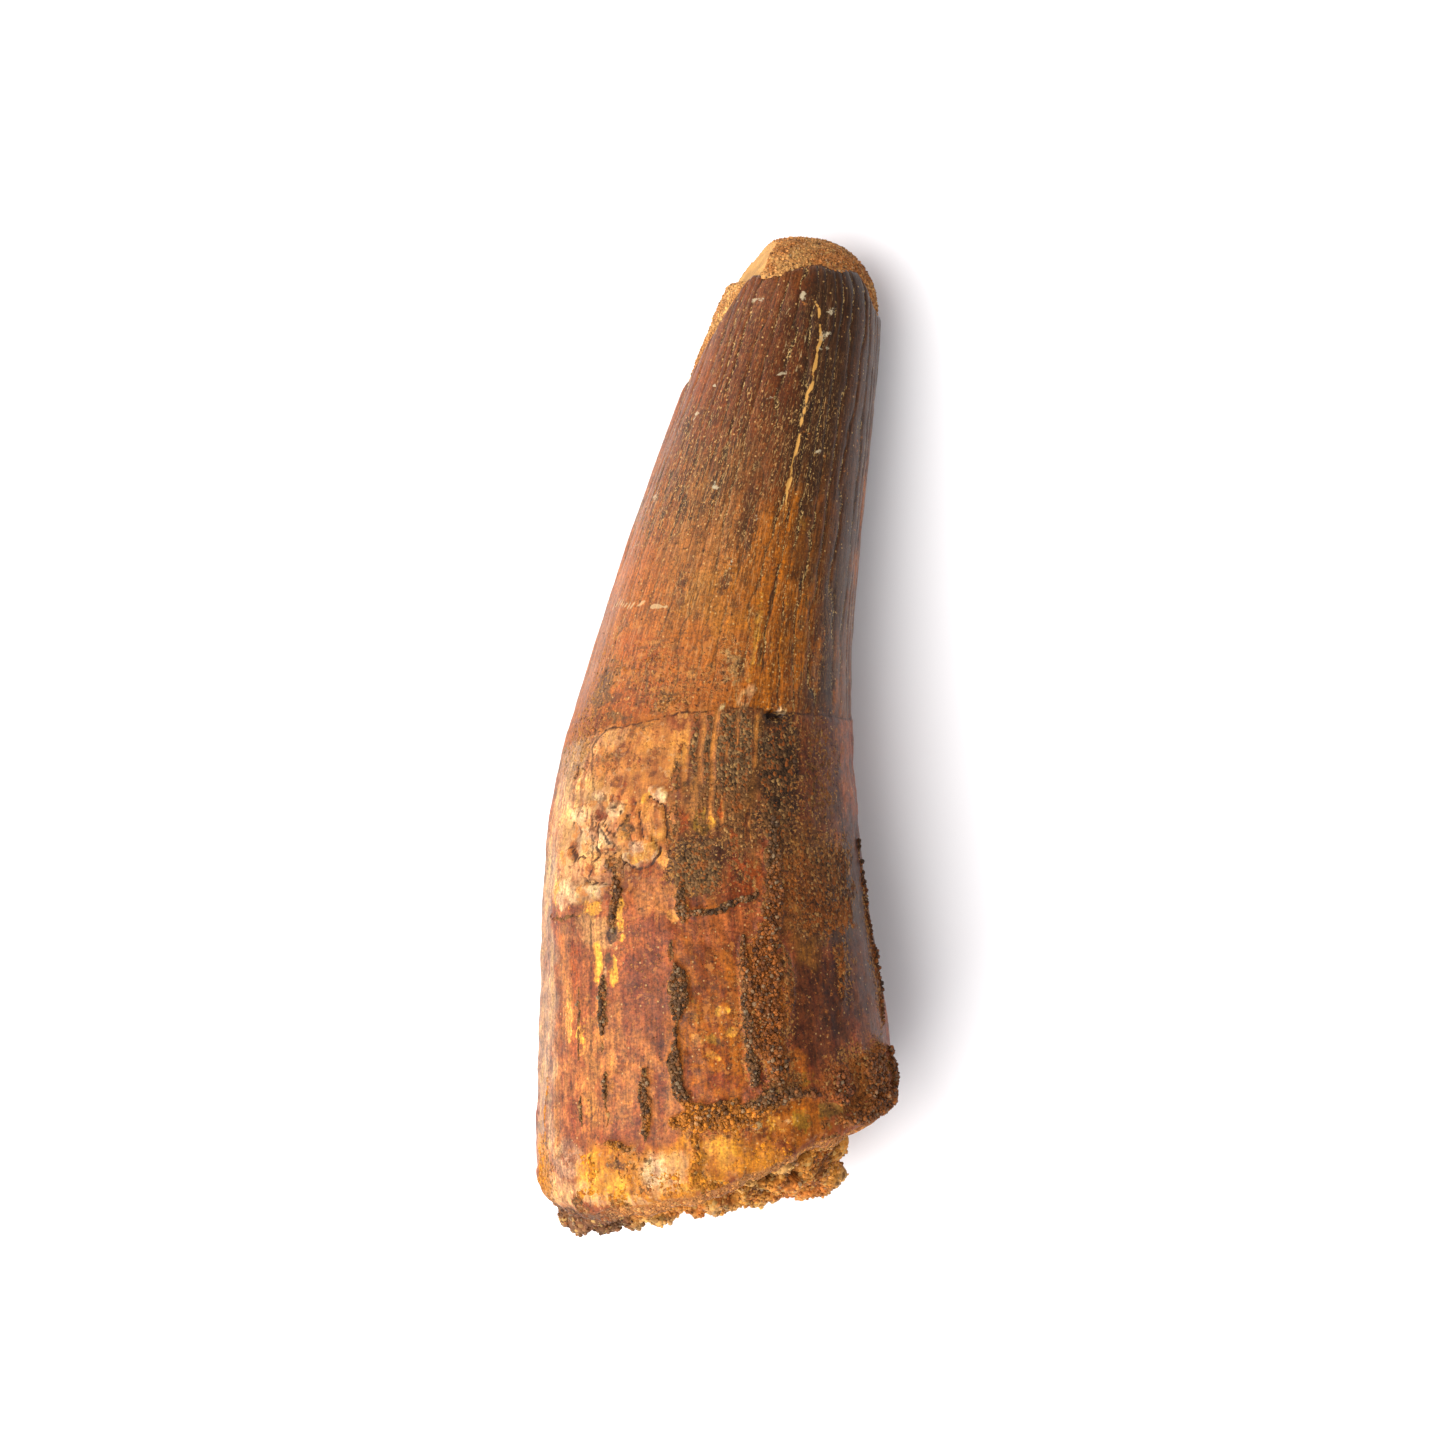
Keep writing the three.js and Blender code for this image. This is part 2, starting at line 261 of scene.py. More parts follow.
# Stains in the enamel, in the order that they lie: pigment, middle, reach, strength.
STAINS = [
    # The upper crown: chestnut at the tip, red-brown on the outer side, golden in the middle.
    ("chestnut", (5.5, 35), (12, 15), 0.85), ("liver", (0.6, 32), (4.2, 10), 0.6),
    ("brick", (-3.2, 22), (5.5, 8), 0.6), ("russet", (-5.2, 15.5), (5.2, 6.5), 0.7),
    # The black-brown washes on the inner side of the upper crown are partly painted shade, where that side
    # turns from the light.
    ("black_brown_and_shade", (8.2, 34.5), (1.2, 6), 0.5), ("chestnut", (6.6, 31), (1.5, 9), 0.6),
    ("black_brown_and_shade", (9.9, 31), (1.5, 13), 0.75), ("umber", (11.5, 24), (2.6, 24), 0.85),
    ("black_brown_and_shade", (8.2, 34), (2.4, 6.5), 0.35), ("black_brown_and_shade", (9.2, 33), (1.6, 7), 0.6),
    ("umber", (7.4, 27), (1.6, 6), 0.4), ("umber", (6.3, 22), (1.6, 4), 0.4),
    ("umber", (10.6, 37), (2.2, 3.4), 0.85), ("black_brown_and_shade", (11.2, 36.5), (1.4, 3.4), 0.7),
    ("chestnut", (3.2, 28.5), (3.6, 5), 0.6), ("umber", (8.2, 24), (2.2, 8.5), 0.7),
    ("chestnut", (-1.6, 23), (3.6, 5), 0.35), ("tan_grey", (-1.0, 17.5), (3.4, 6.5), 0.35),
    ("chestnut", (3.4, 22), (2.0, 3.4), 0.4), ("umber", (7.0, 22), (1.2, 4), 0.4),
    ("golden", (5.2, 10), (4.0, 10), 0.85), ("umber", (7.9, 15.5), (1.5, 4.5), 0.6),
    ("honey", (-1.6, 9.5), (3.0, 3.6), 0.25), ("chestnut", (2.7, 18.4), (0.7, 3.0), 0.8),
    ("oxblood", (0.6, 12.6), (0.8, 1.4), 0.6), ("oxblood", (-2.7, 12.4), (0.4, 2.2), 0.6),
    ("umber", (7.5, 19), (0.7, 6.0), 0.7), ("umber", (4.25, 9.0), (0.32, 6.5), 0.75),
    ("honey", (3.1, 8.0), (0.55, 5.0), 0.6), ("honey", (5.4, 8.5), (0.8, 6.0), 0.35),
    ("coffee", (7.2, 9), (0.9, 9), 0.4), ("golden", (8.3, 5.5), (0.6, 5), 0.5),
    ("umber", (9.6, 9), (1.3, 14), 0.5), ("umber", (11.2, 7), (1.6, 8), 0.6),
    # Above the mended crack: a rusty, mottled belt.
    ("russet", (-5.2, 5.4), (5.6, 4.2), 0.8), ("rust_red", (-6.2, 6.8), (2.2, 1.7), 0.6),
    ("rust_red", (-6.6, 3.2), (2.4, 1.3), 0.6), ("orange", (-5.2, 7.6), (0.55, 0.4), 0.9),
    ("orange", (-2.1, 5.1), (0.6, 0.5), 0.7), ("orange", (-5.3, 3.4), (0.45, 0.4), 0.8),
    ("orange", (-7.6, 2.9), (0.6, 0.3), 0.6), ("orange", (-8.2, 5.4), (0.35, 0.35), 0.6),
    ("coffee", (-4.0, 3.0), (1.1, 1.0), 0.8), ("coffee", (-0.5, 5.8), (0.7, 0.5), 0.6),
    ("coffee", (-9.6, 3.2), (1.0, 3.6), 0.65), ("coffee", (-8.4, 1.5), (1.6, 0.7), 0.6),
    ("coffee", (-4.4, 7.4), (0.35, 0.3), 0.7), ("sandy", (1.3, 5.8), (0.9, 2.6), 0.5),
    ("sandy", (-8.6, 9.0), (1.0, 1.2), 0.4), ("peach", (2.45, 3.2), (0.5, 0.65), 0.9),
    ("russet", (2.35, 3.1), (0.3, 0.42), 0.9), ("cream", (0.5, 2.2), (0.33, 0.27), 0.8),
]
# Below the mended crack.
LOWER_STAINS = [
    # Bright orange on the outer side, dark and sandy in the middle.
    ("coffee", (1.4, -4.5), (4.8, 7.6), 0.85), ("umber", (5.2, -4.5), (1.9, 7.6), 0.95),
    ("umber", (-1.6, -11.0), (2.2, 3.0), 0.6), ("umber", (8.0, -4.0), (3.4, 8), 0.6),
    # Near x -12 the tan-grey and pale dusty washes on the outer edge are partly dust and partly a painted
    # highlight.
    ("rust_brown", (9.0, -12.5), (3.6, 5.2), 0.9), ("tan_grey", (-11.6, -0.5), (1.7, 4.4), 0.55),
    ("dust_and_sheen", (-12.6, -3.0), (1.5, 3.6), 0.5), ("orange_brown", (-7.0, -1.9), (3.9, 3.4), 0.95),
    ("orange", (-3.3, -1.4), (0.95, 3.0), 0.7), ("orange", (-5.9, -0.6), (1.4, 1.3), 0.5),
    ("peach", (-9.3, 0.0), (1.7, 1.4), 0.6), ("rust_red", (-8.0, -4.5), (1.0, 0.65), 0.85),
    ("rust_red", (-6.3, -2.4), (0.5, 1.0), 0.5), ("coffee", (-9.4, -2.1), (1.2, 0.5), 0.4),
    ("coffee", (-6.9, 0.6), (1.2, 0.35), 0.5), ("orange", (-2.55, -5.5), (0.25, 2.6), 0.8),
    ("orange_brown", (-8.6, -7.2), (4.8, 4.2), 0.9), ("sandy", (-11.9, -5.0), (1.5, 1.9), 0.5),
    ("peach", (-10.6, -8.6), (2.8, 5.2), 0.5), ("peach", (-13.3, -9.6), (1.4, 5.4), 0.7),
    ("peach", (-9.6, -7.0), (1.5, 1.6), 0.75), ("peach", (-10.9, -9.2), (1.1, 1.1), 0.8),
    ("cream", (-10.3, -5.6), (0.9, 0.5), 0.8), ("cream", (-9.4, -8.8), (0.8, 0.9), 0.8),
    ("peach", (-8.8, -7.3), (0.9, 0.8), 0.7), ("cream", (-8.6, -7.4), (0.5, 1.0), 0.5),
    ("rust_red", (-7.3, -6.6), (0.25, 1.3), 0.7), ("orange", (-12.5, -10.3), (0.6, 0.9), 0.8),
    ("tan_grey", (-11.8, -5.8), (1.0, 0.7), 0.6), ("rust_red", (-9.1, -9.6), (0.9, 0.22), 0.7),
    ("russet", (-11.6, -4.3), (1.1, 1.3), 0.5), ("russet", (-7.2, -5.6), (0.8, 0.9), 0.6),
    ("rust_red", (-9.9, -6.9), (0.8, 0.6), 0.6), ("russet", (-12.1, -9.9), (0.5, 0.9), 0.7),
    ("rust_red", (-10.3, -11.3), (0.8, 0.6), 0.6), ("cream", (-11.2, -8.2), (0.6, 0.4), 0.6),
    ("rust_red", (-8.3, -5.4), (0.8, 0.6), 0.6), ("orange", (-5.4, -7.3), (0.95, 1.5), 0.95),
    ("cream", (-4.9, -5.2), (0.7, 0.5), 0.85), ("yellow_ochre", (-6.1, -5.2), (0.6, 0.35), 0.7),
    ("coffee", (-7.4, -8.0), (0.9, 1.1), 0.7), ("liver", (-8.5, -4.3), (0.6, 0.6), 0.8),
    ("liver", (-7.6, -1.3), (0.6, 0.5), 0.7), ("liver", (-5.6, -2.6), (0.5, 0.7), 0.6),
    ("honey", (-6.4, -9.9), (1.45, 1.05), 0.95), ("cream", (-7.0, -9.4), (0.6, 0.35), 0.7),
    ("orange", (-4.6, -10.5), (0.6, 0.9), 0.8), ("coffee", (-8.7, -11.1), (0.95, 1.0), 0.6),
    ("rust_red", (-5.9, -11.9), (0.9, 0.6), 0.5), ("rust_red", (-2.8, -6.9), (0.55, 1.5), 0.8),
    ("olive", (-1.3, -7.4), (0.65, 1.15), 0.9), ("yellow_ochre", (-0.45, -7.4), (0.2, 0.4), 0.9),
    ("rust_red", (-0.45, -5.4), (0.22, 0.9), 0.8), ("rust_red", (0.45, -6.2), (0.25, 1.0), 0.8),
    ("oxblood", (2.55, -7.4), (0.28, 1.6), 0.8), ("rust_red", (2.2, -12.0), (1.3, 1.7), 0.8),
    ("umber", (1.75, -11.8), (0.28, 1.1), 0.9), ("rust_red", (1.2, -9.4), (0.5, 1.6), 0.6),
    ("sandy", (3.5, -9.6), (0.45, 2.0), 0.55), ("sandy", (3.3, -12.0), (0.6, 1.8), 0.4),
    ("coffee", (-2.9, -4.6), (0.5, 1.4), 0.5), ("orange_brown", (-6.2, -12.7), (1.4, 1.3), 0.6),
    ("orange", (-0.1, -5.2), (0.4, 0.8), 0.4), ("coffee", (-2.6, -11.2), (1.9, 2.5), 0.75),
    ("black_brown_and_shade", (4.6, -12.0), (0.8, 5.0), 0.6), ("peach", (-11.9, -13.3), (1.9, 1.3), 0.9),
    ("yellow_ochre", (-11.7, -13.2), (0.5, 0.4), 0.95), ("yellow_ochre", (-10.6, -14.7), (0.8, 0.6), 0.95),
    ("yellow_ochre", (-13.3, -13.8), (0.35, 1.3), 0.9), ("cream", (-12.5, -14.4), (0.8, 0.9), 0.85),
    ("orange", (-11.7, -13.1), (0.5, 0.5), 0.9), ("cream", (-10.3, -12.9), (0.9, 0.4), 0.8),
    # Towards the root: smooth red-brown, golden and dark enamel in long fields.
    ("brick", (-6.0, -19.0), (2.9, 6.9), 0.9), ("orange_brown", (-5.0, -14.0), (1.8, 1.4), 0.6),
    ("liver", (-5.8, -21.0), (2.0, 2.8), 0.6), ("tan", (-13.6, -25), (1.6, 9.5), 0.7),
    # The pale dusty washes along the outer edge are partly dust and partly a painted sheen from the bright
    # side.
    ("dust_and_sheen", (-14.4, -22), (1.3, 14.5), 0.65), ("tan", (-11.6, -19.5), (2.0, 4.5), 0.6),
    ("brick", (-11.2, -21.0), (1.3, 3.4), 0.7), ("tan", (-10.8, -16.5), (2.3, 1.6), 0.75),
    ("sandy", (-10.2, -16.5), (2.3, 1.4), 0.4), ("orange_brown", (-9.0, -24.4), (1.4, 3.0), 0.5),
    ("rust_red", (-12.0, -21.0), (0.6, 6.0), 0.6), ("orange_brown", (-8.0, -29.8), (4.6, 4.6), 0.6),
    ("liver", (-4.9, -23.6), (1.5, 2.4), 0.6), ("orange_brown", (-10.6, -28.0), (0.9, 5.0), 0.7),
    ("orange_brown", (-8.6, -27.6), (0.5, 3.0), 0.6), ("brick", (-7.6, -33.6), (1.5, 1.1), 0.7),
    ("brick", (-4.7, -30.4), (0.5, 2.0), 0.6), ("dust_and_sheen", (-12.7, -36.0), (1.5, 1.6), 0.6),
    ("liver", (-12.7, -35.8), (1.2, 1.3), 0.5), ("amber", (-0.2, -21.5), (2.8, 8.6), 0.95),
    ("golden", (0.2, -26.5), (2.6, 4.0), 0.7), ("brick", (0.6, -16.4), (2.6, 1.8), 0.7),
    ("rust_red", (-0.6, -19.5), (1.0, 1.4), 0.45), ("rust_red", (0.4, -29.2), (1.6, 1.0), 0.5),
    ("orange", (-1.5, -26.0), (0.6, 0.6), 0.8), ("olive", (-0.3, -25.8), (0.6, 0.5), 0.7),
    ("olive", (-1.6, -22.2), (0.7, 2.2), 0.4), ("yellow_ochre", (0.5, -23.3), (0.5, 0.45), 0.9),
    ("yellow_ochre", (1.2, -25.0), (0.6, 0.4), 0.7), ("yellow_ochre", (-0.5, -27.1), (0.5, 0.3), 0.7),
    ("oxblood", (8.4, -21.8), (2.4, 5.9), 0.95), ("liver", (9.6, -24.5), (1.4, 3.0), 0.5),
    ("rust_brown", (7.6, -17.6), (1.6, 1.8), 0.6), ("black_brown_and_shade", (11.8, -16), (2.4, 10), 0.7),
    ("oxblood", (8.0, -10), (2.6, 4), 0.35), ("yellow_ochre", (-8.1, -15.6), (0.3, 1.7), 0.95),
    ("peach", (-9.3, -18.8), (0.95, 1.7), 0.85), ("cream", (-9.0, -18.2), (0.5, 0.9), 0.8),
    ("yellow_ochre", (-9.95, -19.2), (0.35, 1.7), 0.95), ("yellow_ochre", (-8.6, -20.0), (0.35, 1.1), 0.85),
    ("coffee", (-9.2, -18.7), (0.3, 0.8), 0.6), ("yellow_ochre", (-8.1, -17.4), (0.4, 0.25), 0.8),
    ("manganese", (-8.9, -16.8), (0.45, 0.6), 0.9), ("yellow_ochre", (-11.4, -25.2), (0.3, 0.8), 0.7),
    ("orange", (-12.4, -23.6), (0.3, 2.6), 0.8), ("yellow_ochre", (-2.9, -14.6), (0.45, 0.35), 0.9),
    ("orange", (-3.6, -15.4), (0.4, 0.5), 0.7),
    # The rim: olive and yellow, with ochre crust and a chalky patch.
    ("golden", (6.4, -28.2), (1.3, 1.7), 0.6), ("olive", (7.4, -28.9), (1.3, 0.9), 0.5),
    ("golden", (5.4, -32.8), (3.8, 2.4), 0.8), ("olive", (7.6, -32.4), (3.0, 1.1), 0.75),
    ("yellow_ochre", (5.0, -32.2), (0.9, 0.7), 0.6), ("golden", (6.4, -34.2), (1.1, 0.5), 0.6),
    ("olive_grey", (9.7, -31.5), (1.6, 0.8), 0.7), ("golden", (8.4, -33.2), (0.6, 0.4), 0.6),
    ("ochre", (1.6, -35.6), (4.2, 1.9), 0.85), ("yellow_ochre", (0.2, -35.4), (1.3, 1.3), 0.7),
    ("yellow_ochre", (4.6, -33.0), (1.2, 1.5), 0.5), ("cream", (3.2, -32.9), (0.5, 0.45), 0.9),
    ("peach", (5.9, -32.7), (0.25, 0.25), 0.9), ("ochre", (-6.5, -37.4), (5.4, 2.6), 0.9),
    ("yellow_ochre", (-10.5, -36.6), (0.7, 1.5), 0.9), ("yellow_ochre", (-9.4, -38.4), (3.0, 1.3), 0.75),
    ("peach", (-13.4, -38.4), (2.2, 1.4), 0.8), ("peach", (-9.6, -39.2), (4.6, 1.0), 0.6),
    ("peach", (-4.9, -37.0), (1.8, 1.7), 0.8), ("cream", (-5.1, -36.9), (1.15, 1.1), 0.85),
    ("yellow_ochre", (-1.2, -38.0), (2.0, 0.8), 0.5), ("coffee", (-8.3, -36.4), (1.1, 0.7), 0.6),
    ("ochre", (-14.6, -36.5), (0.7, 3.2), 0.8),
]

# How thickly fine grains of sand stick to the enamel: middle, reach, share covered.
SPECKLES = [
    ((-4, 15), (6, 9), 0.3), ((1.2, 6.4), (1.2, 2.8), 0.55), ((-9.6, 4), (1.6, 4.5), 0.5),
    ((-4, 4.5), (5.5, 3.2), 0.5), ((-4, 3.0), (1.2, 1.1), 0.7), ((-11.4, -0.5), (1.9, 4.4), 0.6),
    ((-6.5, -1.5), (4.5, 3.4), 0.22), ((1.2, -2.0), (4.2, 4.2), 0.5), ((5.4, -5.0), (2.2, 9.5), 0.7),
    ((0.2, -9.5), (4.2, 4.8), 0.5), ((-2.6, -11.3), (2.0, 2.8), 0.8), ((8.6, -3.4), (2.6, 6.0), 0.5),
    ((9.2, -12.4), (3.6, 5.0), 0.85), ((10.6, -19.5), (1.1, 3.2), 0.8), ((13.2, -18), (0.8, 8), 0.9),
    ((-8.7, -11.2), (1.3, 1.3), 0.7), ((-7.3, -7.6), (0.8, 1.0), 0.5), ((-8.6, -14.2), (0.6, 1.5), 0.8),
    ((-0.8, -22), (2.6, 7), 0.18), ((-6, -18), (3.5, 4), 0.16), ((4.2, -23), (2.6, 8), 0.9),
    ((12.5, -29), (3.2, 3.8), 1.0), ((9.6, -29.5), (1.5, 1.8), 0.8), ((5.5, -29.6), (2.6, 1.6), 0.8),
    ((0, -32.8), (4.4, 1.5), 0.8), ((-7.5, -36.2), (2.2, 1.6), 0.55), ((-14.4, -37), (1.0, 3.4), 0.8),
    ((-1.5, -36.5), (0.8, 2.6), 0.6),
]

# How thickly sand is smeared over the enamel: middle, reach, share covered.
SMEARS = [
    ((0.9, -1.4), (3.4, 3.4), 0.66), ((5.0, -1.8), (1.9, 3.6), 0.66), ((5.0, -7.5), (1.3, 6.5), 0.6),
    ((-3.1, -3.0), (0.6, 2.0), 0.5), ((-1.9, -11.0), (2.2, 2.9), 0.6), ((0.9, -6.2), (2.8, 2.6), 0.5),
    ((-3.7, -7.0), (0.6, 2.6), 0.5), ((1.9, -9.8), (1.6, 3.4), 0.42), ((8.2, -3.0), (2.4, 5.5), 0.4),
    ((9.0, -13.0), (4.4, 5.0), 0.58), ((4.4, -22), (1.6, 7), 0.6), ((-8.5, -11.2), (0.9, 1.2), 0.42),
    ((10.3, -19.6), (0.7, 2.4), 0.5), ((12.0, -29.4), (3.2, 2.6), 0.6), ((-3.9, 3.1), (1.1, 0.8), 0.42),
    ((13.3, -20), (0.6, 7), 0.5), ((5.4, -29.2), (1.8, 1.4), 0.5), ((0.2, -32.6), (4.4, 1.2), 0.55),
    ((-11.2, 0.4), (1.4, 3.6), 0.3), ((9.4, -29.2), (1.8, 1.6), 0.5), ((-8.8, -2.1), (1.5, 0.9), 0.33),
    ((-10.9, -36.6), (1.0, 2.0), 0.36), ((-4.9, -37.6), (3.6, 1.5), 0.36), ((3.8, -35.4), (3.0, 1.6), 0.34),
    ((-14.6, -37), (0.7, 3), 0.5), ((-11.9, -13.9), (2.0, 1.4), 0.33), ((-6.5, 5.6), (3.6, 3.0), 0.31),
]

# Sand and iron cement standing on the enamel: points, half width, rise, how thick it lies.
CRUSTS = [
    ([(-3.6, -17.4), (-3.7, -18.8)], 0.3, 0.06, 0.6),
    ([(-3.3, -19.6), (-3.1, -21.2), (-3.1, -22.4), (-3.3, -23.6)], 0.5, 0.22, 1.0),
    ([(-3.3, -23.2), (-3.45, -25), (-3.4, -26.8)], 0.13, 0.12, 0.95),
    ([(-3.6, -26.2), (-3.5, -28.4), (-3.2, -30.0), (-2.7, -31.3)], 0.46, 0.24, 1.0),
    ([(-2.7, -31.2), (-1.2, -31.6), (0.4, -31.3), (1.6, -30.8)], 0.3, 0.24, 0.95),
    ([(2.3, -16.8), (2.4, -19.5), (2.4, -22.5), (2.7, -25.5), (3.0, -28.5), (3.0, -29.6)], 0.36, 0.25, 1.0),
    ([(3.9, -16.5), (4.1, -21.5), (4.3, -25.5), (4.6, -28.6)], 1.2, 0.32, 0.85),
    ([(5.5, -18), (5.8, -20.5), (6.0, -23.5)], 0.4, 0.2, 0.6),
    ([(4.6, -7.5), (4.6, -11), (4.6, -13.5), (4.7, -17.5)], 0.75, 0.16, 0.86),
    ([(-5.95, -28.4), (-6.05, -30), (-5.95, -32), (-5.9, -34.2)], 0.3, 0.24, 1.0),
    ([(-9.3, -20.4), (-9.35, -22), (-9.4, -23.6), (-9.5, -25.2)], 0.44, 0.2, 0.82),
    ([(-9.45, -25), (-9.45, -27.3)], 0.09, 0.06, 0.8),
    ([(-9.35, -28.2), (-9.4, -29.8), (-9.3, -31.2)], 0.2, 0.2, 0.95),
    ([(-9.3, -31.2), (-9.1, -33.6)], 0.1, 0.08, 0.8),
    ([(-11.5, -21.2), (-11.5, -22.8), (-11.45, -24.6)], 0.15, 0.1, 0.9),
    ([(-11.5, -24.8), (-11.5, -27.4)], 0.09, 0.06, 0.8),
    ([(-11.4, -30.4), (-11.3, -31.8), (-11.3, -33.2)], 0.18, 0.12, 0.85),
    ([(-3.2, -12.6), (-3.3, -13.8), (-2.9, -15.0), (-2.7, -15.9)], 0.4, 0.16, 0.85),
    ([(-2.6, -15.2), (-1.2, -15.0), (0.6, -14.6), (2.2, -14.0), (3.2, -13.2)], 0.3, 0.2, 0.95),
    ([(-8.7, -11.8), (-8.4, -13.2), (-8.6, -14.6), (-8.7, -16.6)], 0.42, 0.12, 0.75),
    ([(-13.9, -15.4), (-12.4, -15.6), (-11.0, -15.3)], 0.16, 0.12, 0.7),
    ([(-9.2, -34.7), (-8.3, -34.8), (-7.4, -35.2)], 0.28, 0.22, 0.95),
    ([(-1.7, 1.3), (-1.75, -0.8), (-1.95, -3.2)], 0.36, 0.03, 0.58),
    ([(-3.1, -0.9), (-3.05, -3.0), (-3.3, -4.9)], 0.34, 0.03, 0.52),
    ([(-0.7, 1.6), (-0.75, -0.8), (-1.0, -4.2)], 0.28, 0.03, 0.58),
    ([(0.65, 1.7), (0.7, -1.4), (0.6, -4.2)], 0.6, 0.03, 0.58),
    ([(2.3, 1.9), (2.35, -1.8), (2.2, -4.6)], 0.6, 0.03, 0.56),
    ([(5.3, 0.7), (5.5, -1.8), (5.3, -4.6)], 1.0, 0.05, 0.62), ([(4.3, -4.4), (4.4, -9.5)], 0.7, 0.05, 0.56),
    ([(6.5, -1.5), (6.55, -3.9)], 0.1, 0.03, 0.8), ([(7.9, -2.8), (7.9, -6.4)], 0.1, 0.03, 0.7),
    ([(10.3, -17.5), (10.5, -22.2)], 0.5, 0.14, 0.6),
    ([(12.0, -9), (12.8, -16), (13.8, -24.5)], 0.35, 0.2, 0.8),
    ([(13.2, -27.0), (12.6, -29.8)], 2.2, 0.5, 0.85), ([(14.5, -27.0), (14.7, -29.4)], 0.8, 0.5, 0.95),
    ([(10.2, -28.4), (10.4, -30.8)], 1.3, 0.35, 0.72), ([(7.0, -30.0), (8.2, -30.2)], 0.4, 0.4, 0.9),
    ([(5.2, -26.8), (5.3, -29.2)], 0.8, 0.3, 0.8),
    ([(-3.6, -32.8), (-2.4, -32.4), (-0.6, -32.6), (1.6, -32.2), (3.4, -31.2), (5.4, -30.2), (6.6, -29.8)],
     0.75, 0.5, 0.95), ([(-1.9, -33.2), (-1.7, -35.4), (-2.1, -38.2)], 0.36, 0.2, 0.7),
    ([(-14.2, -29), (-14.4, -34.5)], 0.22, 0.1, 0.6), ([(-10.6, -35.6), (-10.4, -37.6)], 0.4, 0.2, 0.6),
    ([(10.6, -32.6), (12.6, -31.6), (14.4, -30.2)], 0.8, 0.5, 0.95),
]
# What colours that crust, in the order that it lies: pigment, middle, reach, strength.
EARTHS = [
    ("rust_earth", (4.2, -22.5), (1.9, 6.8), 0.95), ("rust_earth", (8.6, -12), (3.6, 5), 0.95),
    ("deep_rust", (9.8, -12), (3.4, 5.4), 0.8), ("manganese", (11.6, -14), (1.8, 8), 0.6),
    ("brown_earth", (8, -3), (3, 8), 0.8), ("manganese", (6.2, -4), (2.4, 6.5), 0.55),
    ("brown_earth", (0.6, -7.6), (3.0, 3.2), 0.7), ("rust_earth", (10.6, -19), (1.6, 4), 0.8),
    ("deep_rust", (13.6, -20), (1.4, 7), 0.8), ("rust_earth", (12.2, -28.8), (3.8, 4.2), 0.8),
    ("liver", (9.8, -29.3), (1.8, 1.6), 0.6), ("tan_grey", (15.0, -28), (0.7, 1.8), 0.7),
    ("rusty_ochre", (5.2, -27.6), (1.2, 3.0), 0.7), ("rusty_ochre", (1.0, -32.7), (6.2, 1.6), 0.9),
    ("yellow_ochre", (0.8, -32.5), (1.3, 0.6), 0.7), ("yellow_ochre", (-1.0, -33.2), (2.6, 0.7), 0.6),
    ("manganese", (-1.1, -32.7), (1.1, 0.8), 0.7), ("manganese", (2.9, -31.6), (0.7, 0.6), 0.6),
    ("yellow_ochre", (-3.2, -32.6), (1.1, 0.8), 0.7), ("yellow_ochre", (7.4, -30.0), (1.2, 0.7), 0.8),
    ("ochre", (-2, -37), (3, 2.2), 0.7), ("ochre", (-14.3, -34), (1.4, 6), 0.9),
    ("ochre", (-9.9, -37.2), (3.4, 2.2), 0.9), ("ochre", (3.6, -35.2), (3.4, 2.0), 0.9),
    ("yellow_ochre", (-11.6, -13.9), (2.2, 1.4), 0.9), ("rust_earth", (-6.4, 5.4), (4.4, 3.4), 0.9),
    ("tan_grey", (-10.8, 1.0), (1.8, 5), 0.7), ("manganese", (4.6, -12.5), (1.1, 6), 0.9),
    ("manganese", (5.0, -2.8), (1.7, 5.0), 0.75), ("manganese", (3.0, -26.5), (0.6, 3.4), 0.5),
    ("ochre", (4.5, -24.6), (0.8, 1.9), 0.5), ("manganese", (5.5, -22.4), (0.5, 1.8), 0.5),
    ("manganese", (3.6, -18.8), (0.5, 2.4), 0.5), ("grey_earth", (2.4, -21), (0.6, 5), 0.7),
    ("grey_earth", (-3.2, -21), (1.0, 2.4), 0.5), ("grey_earth", (0.6, -1.2), (3.0, 3.4), 0.5),
    ("grey_earth", (-1.8, -11), (2.0, 2.6), 0.4), ("manganese", (-8.2, -34.9), (1.3, 0.6), 0.6),
    ("yellow_ochre", (-9.3, -21.2), (0.9, 1.4), 0.7), ("brown_earth", (-8.5, -12.8), (1.3, 3.0), 0.8),
    ("grey_earth", (-9.5, -24.0), (0.8, 1.2), 0.6),
]
# Thin flakes of enamel that still stand: middle, reach, rise, pigment.
FLAKES = [
    ((-6.4, -9.9), (1.5, 1.05), 0.24, "cream"), ((-5.1, -7.2), (0.8, 1.3), 0.18, "orange"),
    ((-4.95, -5.1), (0.8, 0.5), 0.26, "cream"), ((-9.4, -8.4), (0.9, 1.3), 0.28, "peach"),
    ((-11.0, -9.2), (0.9, 1.2), 0.22, "cream"), ((-10.2, -5.9), (1.3, 0.9), 0.16, "peach"),
    ((-12.9, -9.4), (0.7, 2.2), 0.16, "peach"), ((-10.4, -13.1), (1.2, 0.6), 0.22, "cream"),
    ((-12.7, -13.4), (1.1, 1.1), 0.18, "cream"), ((2.45, 3.2), (0.5, 0.7), 0.14, "peach"),
    ((5.6, 1.95), (0.5, 0.2), 0.2, "cream"), ((0.5, 2.05), (0.3, 0.24), 0.15, "cream"),
    ((-8.4, -6.3), (0.8, 0.7), 0.14, "cream"), ((-7.6, -8.2), (0.7, 0.8), 0.16, "orange"),
    ((-11.6, -6.9), (0.8, 0.7), 0.16, "cream"), ((-9.8, -10.9), (0.7, 0.6), 0.18, "peach"),
]
